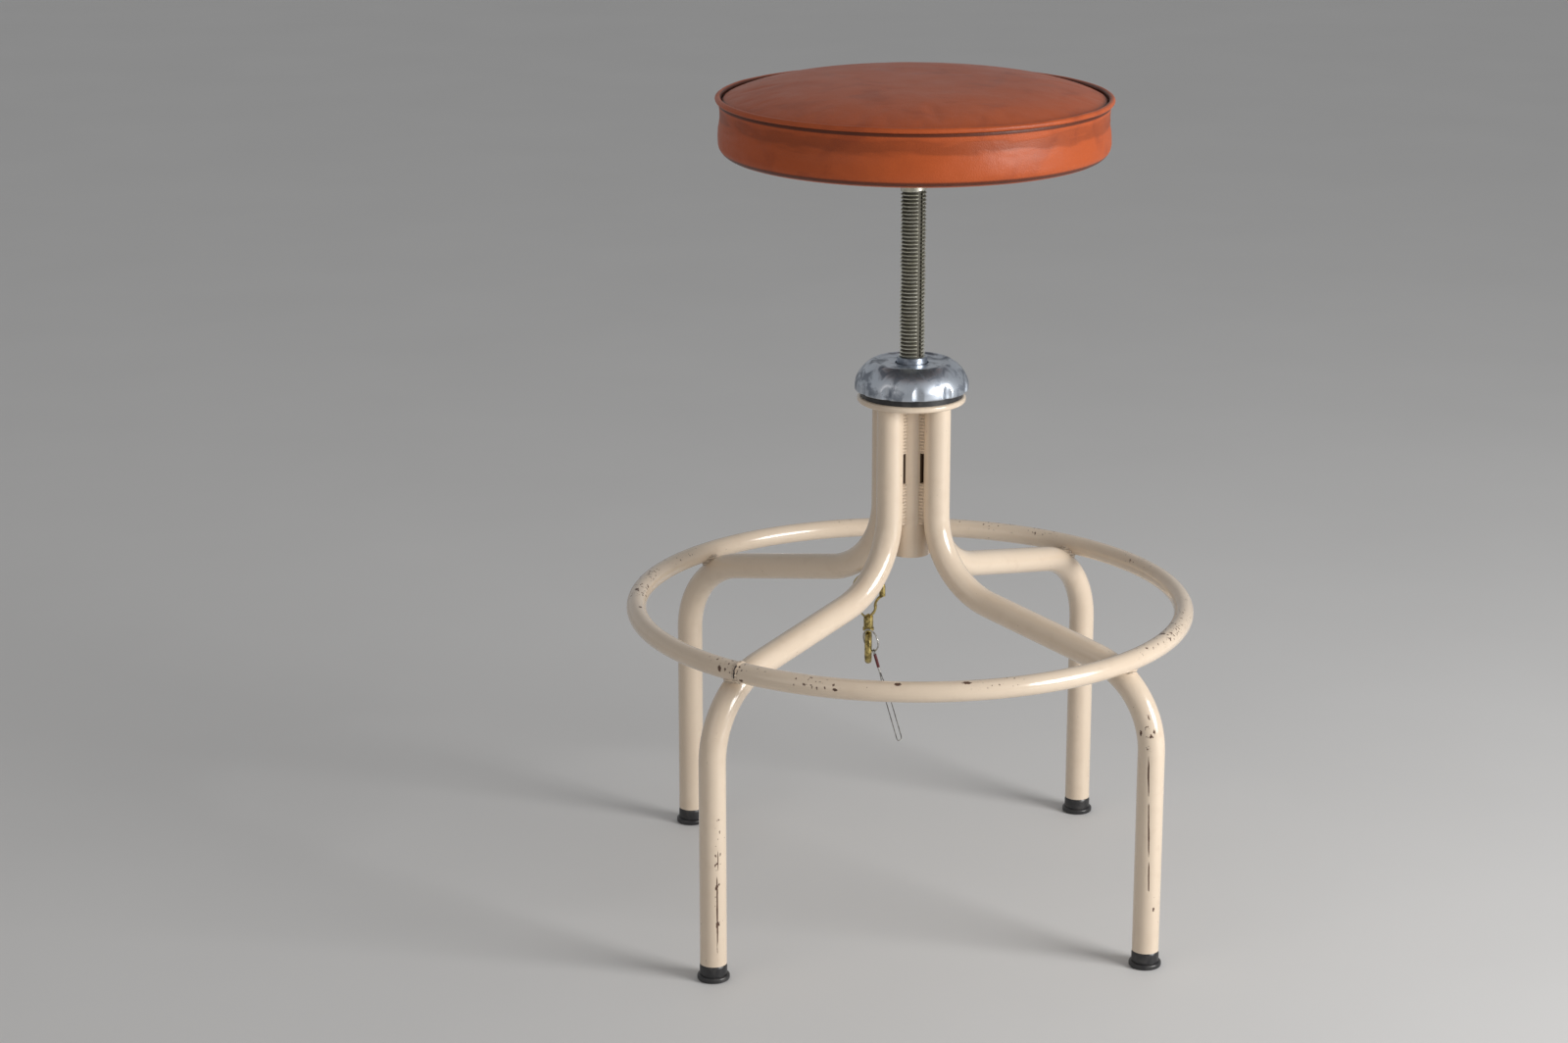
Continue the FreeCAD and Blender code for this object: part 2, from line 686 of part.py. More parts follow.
def spindle():
    """Threaded and keyed screw with a plain journal for the seat hub at its top."""
    bottom, shoulder = "spindle_bottom_height", "thrust_washer_bottom"
    hole = "stop_screw_diameter / 2"
    groove = "journal_radius - retaining_groove_depth"
    play = "push_clearance / 2"
    body = turned("spindle", [
        ("0", f"{bottom} + stop_screw_length"),
        (hole, f"{bottom} + stop_screw_length"),
        (hole, bottom),
        ("thread_root_radius", bottom),
        ("spindle_radius", f"{bottom} + thread_depth"),
        ("spindle_radius", shoulder),
        ("journal_radius", shoulder),
        ("journal_radius", f"retaining_ring_bottom - {play}"),
        (groove, f"retaining_ring_bottom - {play}"),
        (groove, f"retaining_ring_top + {play}"),
        ("journal_radius", f"retaining_ring_top + {play}"),
        ("journal_radius", "journal_top"),
        ("0", "journal_top"),
    ], "keyway_azimuth")
    over = "thread_clearance"
    root_half = "thread_root_flat / 2"
    mouth_half = f"{root_half} + (thread_depth + {over}) * tan(thread_flank_angle)"
    cut_thread(body, "thread_root_radius", f"spindle_radius + {over}", root_half, mouth_half,
               "thread_start", f"{shoulder} - thread_runout - thread_start")
    way = make_sketch(body, "keyway", "XY_Plane", f"{bottom} - thread_pitch")
    floor, outside = "spindle_radius - keyway_depth", "spindle_radius + thread_depth"
    draw_path(way, [(floor, "-keyway_width / 2"), (outside, "-keyway_width / 2"),
                    (outside, "keyway_width / 2"), (floor, "keyway_width / 2")])
    pocket(body, way, f"{shoulder} - thread_runout - {bottom} + thread_pitch")


def spindle_stop():
    """Washer and hexagon screw at the spindle's foot, which stop it under the guide bush."""
    top = "spindle_bottom_height"
    washer_bottom = f"{top} - stop_washer_thickness"
    turned("stop_washer", box_corners("stop_screw_diameter / 2", "stop_washer_diameter / 2",
                                      washer_bottom, top))
    screw = make_body("stop_screw")
    head = make_sketch(screw, "head", "XY_Plane", f"{washer_bottom} - stop_screw_head_height")
    corner = "stop_screw_head_diameter / 2"
    draw_path(head, [(f"{corner} * cos({angle})", f"{corner} * sin({angle})")
                     for angle in range(0, 360, 60)])
    pad(screw, head, "stop_screw_head_height", "head_pad")
    shank = make_sketch(screw, "shank", "XY_Plane", washer_bottom)
    draw_circle(shank, "stop_screw_diameter / 2 - push_clearance")
    pad(screw, shank, "stop_washer_thickness + stop_screw_length - thread_pitch", "shank_pad")


def seat_bearing():
    """Thrust washer under the seat hub, and the open ring that keeps the hub on the journal."""
    bore = "journal_radius + journal_clearance"
    turned("thrust_washer", box_corners(bore, "thrust_washer_diameter / 2", "thrust_washer_bottom",
                                        "thrust_washer_bottom + thrust_washer_thickness"))
    ring = turned("retaining_ring", box_corners(
        "journal_radius - retaining_groove_depth + push_clearance", "retaining_ring_diameter / 2",
        "retaining_ring_bottom", "retaining_ring_top"))
    mouth = make_sketch(ring, "mouth", "XY_Plane", "retaining_ring_bottom")
    half = "journal_radius / 3"
    draw_path(mouth, [("0", f"-{half}"), ("retaining_ring_diameter", f"-{half}"),
                      ("retaining_ring_diameter", half), ("0", half)])
    pocket(ring, mouth, "retaining_ring_thickness")


def thrust_bearing():
    """Grooved races, balls and ball cage between the top plate and the nut."""
    chord = "sqrt(groove_radius ^ 2 - (groove_radius - race_groove_depth) ^ 2)"
    inner, outer = f"ball_circle_radius - {chord}", f"ball_circle_radius + {chord}"
    turned("lower_race", [
        ("race_bore_radius", "plate_top_height"),
        ("race_radius", "plate_top_height"),
        ("race_radius", "lower_race_top"),
        (outer, "lower_race_top", "-groove_radius"),
        (inner, "lower_race_top"),
        ("race_bore_radius", "lower_race_top"),
    ])
    turned("upper_race", [
        ("race_bore_radius", "upper_race_bottom"),
        (inner, "upper_race_bottom", "-groove_radius"),
        (outer, "upper_race_bottom"),
        ("race_radius", "upper_race_bottom"),
        ("race_radius", "nut_bottom"),
        ("race_bore_radius", "nut_bottom"),
    ])
    cage_low = "ball_height - cage_thickness / 2"
    cage = turned("ball_cage", box_corners(
        "ball_circle_radius - cage_width / 2", "ball_circle_radius + cage_width / 2",
        cage_low, f"{cage_low} + cage_thickness"))
    hole = make_sketch(cage, "hole", "XY_Plane", cage_low)
    draw_circle(hole, "ball_diameter / 2 + cage_clearance", "ball_circle_radius")
    repeat_around(cage, pocket(cage, hole, "cage_thickness"), hole, "ball_count")
    ball = doc.addObject("Part::Sphere", "ball")
    bind(ball, "Radius", "ball_diameter / 2")
    place(ball, "ball_circle_radius", "0", "ball_height")
    group("bearing_balls", [ball], evenly_round("ball_count"))


def evenly_round(count):
    """Azimuths of so many copies spread evenly round the axis."""
    return [f"{index} * 360 / {count}" for index in range(round(value(count)))]


def dust_washer():
    """Black washer on the top plate, under the rim of the hand wheel."""
    turned("dust_washer", box_corners("race_radius + race_bore_clearance", "washer_diameter / 2",
                                      "plate_top_height", "wheel_rim_height - washer_clearance"))


def hand_wheel():
    """Pressed wheel with a dished top and flutes round its skirt, fixed on the nut."""
    skirt_top = "wheel_rim_height + wheel_skirt_height"
    edge = "wheel_web_thickness / 2"
    hole = "nut_collar_radius + push_clearance"
    shell = turned("handwheel_shell", [
        ("wheel_inner_radius", "wheel_rim_height"),
        (f"wheel_radius - {edge}", "wheel_rim_height", edge),
        ("wheel_radius", f"wheel_rim_height + {edge}"),
        ("wheel_radius", skirt_top, "wheel_shoulder_radius"),
        ("wheel_dish_radius", "wheel_top_height"),
        ("wheel_dish_radius - wheel_dish_depth", "wheel_dish_height"),
        (hole, "wheel_dish_height"),
        (hole, "wheel_web_height"),
        ("wheel_dish_radius - wheel_web_thickness", "wheel_web_height", "-wheel_shoulder_radius"),
        ("wheel_inner_radius", skirt_top),
    ], "flute_azimuth")
    flute = make_sketch(shell, "flute", "XY_Plane", "wheel_rim_height")
    draw_circle(flute, "flute_radius", "wheel_radius + flute_radius - flute_depth")
    repeat_around(shell, pocket(shell, flute, "wheel_height"), flute, "flute_count")
    bore = "thread_root_radius + thread_clearance"
    nut = turned("spindle_nut", [
        (bore, "nut_bottom"),
        ("nut_flange_radius", "nut_bottom"),
        ("nut_flange_radius", "nut_flange_top"),
        ("nut_hub_radius", "nut_flange_top"),
        ("nut_hub_radius", "wheel_web_height"),
        ("nut_collar_radius", "wheel_web_height"),
        ("nut_collar_radius", "nut_top"),
        (bore, "nut_top"),
    ], "keyway_azimuth")
    over = "thread_clearance"
    ridge = "(thread_pitch - thread_root_flat) / 2"
    side_play = "thread_clearance / cos(thread_flank_angle)"
    inner_half = f"{ridge} + {side_play}"
    outer_half = f"{ridge} + {side_play} - (thread_depth + {over}) * tan(thread_flank_angle)"
    turns_below = "floor((nut_bottom - thread_start) / thread_pitch) - 0.5"
    start = f"(thread_start + ({turns_below}) * thread_pitch)"
    cut_thread(nut, "thread_root_radius", f"spindle_radius + {over}", inner_half, outer_half,
               start, f"nut_top - {start} + thread_pitch")


def seat_board():
    """Plywood disc, the steel plate screwed under it and the hub that turns on the journal."""
    low = "cover_top_of_turn"
    board = turned("seat_board", box_corners("board_bore_radius", "board_radius", low, "board_top"))
    bore = "journal_radius + journal_clearance"
    plate = turned("seat_plate", box_corners(bore, "seat_plate_radius", "seat_plate_bottom", low))
    for body, height, length in ((board, low, "board_thickness"),
                                 (plate, "seat_plate_bottom", "seat_plate_thickness")):
        hole = make_sketch(body, "hole", "XY_Plane", height)
        draw_circle(hole, "plate_screw_diameter / 2 + push_clearance", "plate_screw_circle_radius")
        repeat_around(body, pocket(body, hole, length), hole, "plate_screw_count")
    turned("seat_hub", box_corners(bore, "hub_diameter / 2", "hub_bottom", "seat_plate_bottom"))
    screw = make_body("plate_screw")
    head = make_sketch(screw, "head", "XY_Plane", "seat_plate_bottom - plate_screw_head_height")
    draw_circle(head, "plate_screw_head_diameter / 2", "plate_screw_circle_radius")
    pad(screw, head, "plate_screw_head_height", "head_pad")
    shank = make_sketch(screw, "shank", "XY_Plane", "seat_plate_bottom")
    draw_circle(shank, "plate_screw_diameter / 2", "plate_screw_circle_radius")
    pad(screw, shank, "plate_screw_length", "shank_pad")
    group("plate_screws", [screw], evenly_round("plate_screw_count"))


def crown(lower):
    """Corners of the crowned top, from its edge to the middle, lowered by so much."""
    return [
        ("crown_shoulder_radius", f"welt_height + crown_shoulder_height - ({lower})", "crown_middle_bend"),
        ("crown_middle_radius", f"welt_height + crown_middle_height - ({lower})", "crown_top_bend"),
        ("0", f"welt_height + seat_crown_height - ({lower})"),
    ]


def cushion():
    """Foam, top cover, side band and piping of the seat."""
    inner_band = "band_radius - cover_thickness"
    foam_side = f"{inner_band} - upholstery_gap"
    foam_edge = "crown_edge_radius - cover_thickness - upholstery_gap"
    turned("seat_foam", [
        ("0", "board_top"),
        (foam_side, "board_top"),
        (foam_side, "band_bulge_place", "-band_bend"),
        (foam_side, "band_top"),
        (foam_edge, "welt_height - cover_thickness", "crown_shoulder_bend"),
        *crown("cover_thickness + upholstery_gap"),
    ])
    under = [(corner[0], corner[1]) for corner in crown("cover_thickness")]
    turned("seat_top_cover", [
        ("crown_edge_radius", "welt_height", "crown_shoulder_bend"),
        *crown("0"),
        (*under[2], "-crown_top_bend"),
        (*under[1], "-crown_middle_bend"),
        (*under[0], "-crown_shoulder_bend"),
        ("crown_edge_radius - cover_thickness", "welt_height - cover_thickness + upholstery_gap"),
    ])
    turned("seat_boxing", [
        ("turn_end_radius", "seat_underside_height"),
        ("turn_radius", "seat_underside_height", "seat_edge_radius"),
        ("band_radius", "band_low"),
        ("band_radius", "band_bulge_place", "-band_bend"),
        ("band_radius", "band_top"),
        (inner_band, "band_top", "band_bend"),
        (inner_band, "band_bulge_place"),
        (inner_band, "band_low", "-(seat_edge_radius - cover_thickness)"),
        ("turn_radius", "cover_top_of_turn"),
        ("turn_end_radius", "cover_top_of_turn"),
    ])
    welt = make_body("seat_welt")
    section = make_sketch(welt, "section", "XZ_Plane")
    draw_circle(section, "welt_radius", "seat_radius", "welt_height")
    turn_profile(welt, section)


def seat_underside():
    """Thin cloth over the open underside, with the staples that hold it and the cover."""
    wall = "turn_end_radius - upholstery_gap"
    cloth = "dust_cover_thickness"
    start = "seat_plate_radius + cover_thickness"
    outer = "turn_end_radius + dust_cover_overlap"
    turned("seat_dust_cover", [
        (start, f"cover_top_of_turn - {cloth}"),
        (f"{wall} - {cloth}", f"cover_top_of_turn - {cloth}"),
        (f"{wall} - {cloth}", f"seat_underside_height - {cloth}"),
        (outer, f"seat_underside_height - {cloth}"),
        (outer, "seat_underside_height"),
        (wall, "seat_underside_height"),
        (wall, "cover_top_of_turn"),
        (start, "cover_top_of_turn"),
    ])
    staple = doc.addObject("Part::Box", "staple")
    bind(staple, "Length", "staple_wire")
    bind(staple, "Width", "staple_width")
    bind(staple, "Height", "staple_wire")
    place(staple, "turn_end_radius + dust_cover_overlap / 2", "-staple_width / 2",
          f"seat_underside_height - {cloth} - staple_wire")
    group("cover_staples", [staple], evenly_round("staple_count"))


def place_on_leg(thing, *turns):
    """Stand a piece of the snap hook at the place where it hangs under the rear left leg."""
    across = "snap_reach * cos(snap_azimuth)"
    along = "snap_reach * sin(snap_azimuth)"
    place(thing, across, along, "0", *turns)


def hook_eyelet():
    """Small ring of wire under the bend of the rear left leg, for the snap hook."""
    ring = doc.addObject("Part::Torus", "eyelet_ring")
    bind(ring, "Radius1", "eyelet_radius")
    bind(ring, "Radius2", "eyelet_wire / 2")
    place(ring, "snap_reach * cos(snap_azimuth)", "snap_reach * sin(snap_azimuth)", "eyelet_height",
          turning(UPRIGHT, "snap_facing"), turning(SIDEWAYS, "90"))
    bend = doc.addObject("Part::Torus", "leg_bend_outside")
    bind(bend, "Radius1", "leg_bend_radius")
    bind(bend, "Radius2", "leg_radius")
    centre = "(leg_bend_radius + leg_offset)"
    place(bend, f"{centre} * cos(snap_azimuth)", f"{centre} * sin(snap_azimuth)", "upper_bend_height",
          turning(UPRIGHT, "snap_azimuth"), turning("1; 0; 0", "90"))
    eyelet = doc.addObject("Part::Cut", "hook_eyelet")
    eyelet.Base = ring
    eyelet.Tool = bend


def draw_gate(sketch, square_end, pivot):
    """Flat bar from a square end to an end rounded about the pivot of the gate."""
    bow, half = "snap_bow_radius", "snap_gate_thickness / 2"
    left, right = f"-{bow} - {half}", f"-{bow} + {half}"
    if value(square_end) < value(pivot):
        draw_path(sketch, [(left, square_end), (right, square_end), (right, pivot, half),
                           (f"-{bow}", f"{pivot} + {half}", half), (left, pivot)])
    else:
        draw_path(sketch, [(right, square_end), (left, square_end), (left, pivot, half),
                           (f"-{bow}", f"{pivot} - {half}", half), (right, pivot)])


def drill_for_rivet(body, pivot, radius):
    hole = make_sketch(body, "rivet_hole", "XZ_Plane")
    draw_circle(hole, radius, "-snap_bow_radius", pivot)
    middle_pocket(body, hole, "2 * snap_gate_thickness", "rivet_pocket")


def snap_hook():
    """Snap hook in its eyelet: bow and hollow shank in one, a gate and its rivet."""
    facing = turning(UPRIGHT, "snap_facing")
    body = make_body("snap_body")
    place_on_leg(body, facing)
    shank, stem = "snap_shank_diameter / 2", "eye_stem_diameter / 2 + eye_clearance"
    head, collar = "eye_head_diameter / 2 + eye_clearance", "snap_collar_diameter / 2"
    shaft = make_sketch(body, "shaft", "XZ_Plane")
    draw_path(shaft, [
        ("0", "snap_shank_top + snap_bar_radius"),
        (shank, "snap_shank_top"),
        (shank, "snap_shank_bottom"),
        (collar, "snap_shank_bottom"),
        (collar, "snap_collar_bottom"),
        (stem, "snap_collar_bottom"),
        (stem, "eye_stem_top - eye_head_diameter / 2 - eye_clearance"),
        (head, "eye_stem_top - eye_head_diameter / 2 - eye_clearance"),
        (head, "eye_stem_top + eye_clearance"),
        ("0", "eye_stem_top + eye_clearance"),
    ])
    turn_profile(body, shaft)
    bow, gate_top = "snap_bow_radius", "snap_lug_bottom + snap_gate_length"
    throat, lug_throat = (f"(({bow}) ^ 2 + {height} ^ 2) / (4 * {bow})"
                          for height in ("snap_throat_height", "snap_lug_height"))
    path = make_sketch(body, "bow_path", "XZ_Plane")
    draw_path(path, [
        ("0", "snap_shank_top", throat),
        (f"{bow} / 2", "snap_side_bottom - snap_throat_height / 2", f"-{throat}"),
        (bow, "snap_side_bottom"),
        (bow, "snap_bow_height", bow),
        ("0", f"snap_bow_height + {bow}", bow),
        (f"-{bow}", "snap_bow_height"),
        (f"-{bow}", f"{gate_top} + snap_gate_gap"),
    ], closed=False)
    section = make_sketch(body, "bow_section", "XY_Plane", "snap_shank_top")
    draw_circle(section, "snap_bar_radius")
    pipe_along(body, path, section)
    lug_path = make_sketch(body, "lug_path", "XZ_Plane")
    draw_path(lug_path, [("0", "snap_shank_top", f"-{lug_throat}"),
                         (f"-{bow} / 2", "snap_shank_top + snap_lug_height / 2", lug_throat),
                         (f"-{bow}", "snap_lug_bottom")], closed=False)
    pipe_along(body, lug_path, section)
    pivot = "snap_lug_bottom + snap_gate_thickness"
    tongue = make_sketch(body, "tongue", "XZ_Plane")
    draw_gate(tongue, "snap_lug_bottom - snap_gate_gap", pivot)
    middle_pad(body, tongue, "snap_tongue_thickness", "tongue_pad")
    drill_for_rivet(body, pivot, "snap_rivet_diameter / 2")
    gate = make_body("snap_gate")
    place_on_leg(gate, facing)
    outline = make_sketch(gate, "outline", "XZ_Plane")
    draw_gate(outline, gate_top, pivot)
    middle_pad(gate, outline, "snap_gate_thickness")
    drill_for_rivet(gate, pivot, "snap_rivet_diameter / 2 + eye_clearance")
    fork = make_sketch(gate, "fork", "XZ_Plane")
    half = "snap_gate_thickness / 2 + snap_gate_gap"
    draw_path(fork, [
        (f"-{bow} - ({half})", "snap_lug_bottom"), (f"-{bow} + {half}", "snap_lug_bottom"),
        (f"-{bow} + {half}", f"{pivot} + {half}"), (f"-{bow} - ({half})", f"{pivot} + {half}")])
    middle_pocket(gate, fork, "snap_tongue_thickness + snap_gate_gap", "fork_pocket")
    rivet = make_body("gate_rivet")
    place_on_leg(rivet, facing)
    pin = make_sketch(rivet, "section", "XZ_Plane")
    draw_circle(pin, "snap_rivet_diameter / 2", f"-{bow}", pivot)
    middle_pad(rivet, pin, "snap_gate_thickness + snap_gate_gap")


def swivel_eye():
    """Eye whose headed stem turns in the shank of the snap hook."""
    eye = make_body("swivel_eye")
    place_on_leg(eye, turning(UPRIGHT, "eye_azimuth + 90"))
    stem, head = "eye_stem_diameter / 2", "eye_head_diameter / 2"
    outline = make_sketch(eye, "stem", "XZ_Plane")
    draw_path(outline, [
        ("0", "eye_height + eye_radius"),
        (stem, "eye_height + eye_radius"),
        (stem, f"eye_stem_top - {head}"),
        (head, f"eye_stem_top - {head}"),
        (head, "eye_stem_top"),
        ("0", "eye_stem_top"),
    ])
    turn_profile(eye, outline)
    bar = make_sketch(eye, "bar", "XZ_Plane")
    draw_circle(bar, "eye_bar_diameter / 2", "0", "eye_height + eye_radius")
    draw_axis(bar, ("-eye_radius", "eye_height"), ("eye_radius", "eye_height"))
    turn_profile(eye, bar, axis="Axis0")


def place_at_eye(thing, right, back, up, *turns):
    """Stand a piece at so much right of, behind and above the middle of the eye."""
    facing = "(eye_azimuth + 90)"
    across = f"snap_reach * cos(snap_azimuth) + ({right}) * cos{facing} - ({back}) * sin{facing}"
    along = f"snap_reach * sin(snap_azimuth) + ({right}) * sin{facing} + ({back}) * cos{facing}"
    place(thing, across, along, f"eye_height + {up}", turning(UPRIGHT, facing), *turns)


def wire_loop():
    """Ring through the eye, and the crimped wire loop that hangs from it."""
    ring = doc.addObject("Part::Torus", "split_ring")
    ring.Label = "split_ring"
    bind(ring, "Radius1", "key_ring_radius")
    bind(ring, "Radius2", "key_ring_wire / 2")
    place_at_eye(ring, "key_ring_right", "key_ring_back", "key_ring_up",
                 turning(UPRIGHT, "key_ring_turn"), turning(SIDEWAYS, "90 - key_ring_rise"))
    wire = make_body("wire_loop")
    hang_from_ring(wire)
    path = make_sketch(wire, "path", "XZ_Plane")
    crimp_top, crimp_bottom = "-bight_length", "-(bight_length + sleeve_length + ferrule_length)"
    loop_bottom = f"{crimp_bottom} - wire_loop_length + wire_loop_radius"
    in_bend, in_middle, in_side = sway("bight_length", "(bight_radius - strand_offset)")
    out_bend, out_middle, out_side = sway("wire_loop_spread", "(wire_loop_radius - strand_offset)")
    draw_path(path, [
        ("0", "bight_radius", "bight_radius"),
        ("-bight_radius", "0", in_bend),
        (f"-(bight_radius - {in_side})", f"-{in_middle}", f"-{in_bend}"),
        ("-strand_offset", crimp_top),
        ("-strand_offset", crimp_bottom, f"-{out_bend}"),
        (f"-(strand_offset + {out_side})", f"{crimp_bottom} - {out_middle}", out_bend),
        ("-wire_loop_radius", f"{crimp_bottom} - wire_loop_spread"),
        ("-wire_loop_radius", loop_bottom, "wire_loop_radius"),
        ("0", f"{loop_bottom} - wire_loop_radius", "wire_loop_radius"),
        ("wire_loop_radius", loop_bottom),
        ("wire_loop_radius", f"{crimp_bottom} - wire_loop_spread", out_bend),
        (f"strand_offset + {out_side}", f"{crimp_bottom} - {out_middle}", f"-{out_bend}"),
        ("strand_offset", crimp_bottom),
        ("strand_offset", crimp_top, f"-{in_bend}"),
        (f"bight_radius - {in_side}", f"-{in_middle}", in_bend),
        ("bight_radius", "0", "bight_radius"),
    ])
    section = make_sketch(wire, "section", "YZ_Plane")
    draw_circle(section, "wire_diameter / 2", "0", "bight_radius")
    pipe_along(wire, path, section)
    bore = "strand_offset + wire_diameter / 2 + crimp_clearance"
    sleeve_bottom = f"{crimp_top} - sleeve_length"
    for name, outside, low, high in (
            ("loop_sleeve", "sleeve_diameter / 2", sleeve_bottom, crimp_top),
            ("loop_ferrule", "ferrule_diameter / 2", crimp_bottom, sleeve_bottom)):
        hang_from_ring(turned(name, box_corners(bore, outside, low, high)))


def sway(length, shift):
    """Radius, half length and half shift of a double bend that moves a bar sideways."""
    return f"(({shift}) ^ 2 + ({length}) ^ 2) / (4 * {shift})", f"{length} / 2", f"{shift} / 2"


def hang_from_ring(thing):
    place_at_eye(thing, "hang_right", "hang_back", "hang_up",
                 turning(SIDEWAYS, "-wire_loop_tilt"), turning(UPRIGHT, "key_ring_turn"))


def build():
    column()
    for name, azimuth in LEG_PLACES.items():
        leg(f"leg_{name}", azimuth)
        foot_tip(f"foot_tip_{name}", azimuth)
    top_plate()
    foot_ring()
    ring_welds()
    leg_welds()
    guide()
    dust_washer()
    thrust_bearing()
    hand_wheel()
    spindle()
    spindle_stop()
    seat_bearing()
    seat_board()
    cushion()
    seat_underside()
    hook_eyelet()
    snap_hook()
    swivel_eye()
    wire_loop()
    doc.recompute()


NODES = (
    "centre_tube", "leg_rear_right", "leg_rear_left", "leg_front_left", "leg_front_right",
    "foot_tip_rear_right", "foot_tip_rear_left", "foot_tip_front_left", "foot_tip_front_right",
    "top_plate", "foot_ring", "ring_butt_weld", "ring_welds", "leg_welds",
    "guide_bush", "spindle_key", "dust_washer", "lower_race", "upper_race", "ball_cage",
    "bearing_balls", "handwheel_shell", "spindle_nut", "spindle", "stop_washer", "stop_screw",
    "thrust_washer", "retaining_ring", "seat_board", "seat_plate", "seat_hub", "plate_screws",
    "seat_foam", "seat_top_cover", "seat_boxing", "seat_welt", "seat_dust_cover",
    "cover_staples", "hook_eyelet", "snap_body", "snap_gate", "gate_rivet", "swivel_eye", "split_ring",
    "wire_loop", "loop_sleeve", "loop_ferrule",
)


def check_and_export():
    """Stop at any piece that is broken or empty; write each sub-part to its own file."""
    broken = [thing.Name for thing in doc.Objects if {"Invalid", "Error"} & set(thing.State)]
    nodes = [doc.getObjectsByLabel(name)[0] for name in NODES]
    for node in nodes:
        if node.Shape.isNull() or not node.Shape.isValid() or not node.Shape.Solids:
            broken.append(node.Label)
    if broken:
        raise RuntimeError("broken pieces: " + ", ".join(broken))
    os.makedirs("parts", exist_ok=True)
    for node in nodes:
        node.Shape.exportStep(f"parts/{node.Label}.step")


build()
check_and_export()
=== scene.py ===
import math

import bmesh
import bpy
from mathutils import Matrix, Vector, noise


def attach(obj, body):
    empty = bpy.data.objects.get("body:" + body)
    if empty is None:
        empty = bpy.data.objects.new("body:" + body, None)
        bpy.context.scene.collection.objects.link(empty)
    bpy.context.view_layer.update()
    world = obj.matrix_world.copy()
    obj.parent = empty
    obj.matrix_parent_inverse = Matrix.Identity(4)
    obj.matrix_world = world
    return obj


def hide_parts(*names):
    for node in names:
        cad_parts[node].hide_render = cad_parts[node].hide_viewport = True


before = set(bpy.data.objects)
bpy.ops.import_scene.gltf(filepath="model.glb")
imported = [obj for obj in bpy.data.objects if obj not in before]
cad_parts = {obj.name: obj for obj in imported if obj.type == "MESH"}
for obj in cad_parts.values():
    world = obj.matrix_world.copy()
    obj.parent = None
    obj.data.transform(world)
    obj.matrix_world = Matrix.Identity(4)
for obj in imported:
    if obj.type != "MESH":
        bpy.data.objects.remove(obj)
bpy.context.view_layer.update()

MM = 0.001
FULL_TURN = 2 * math.pi


# Node calls for the finishes

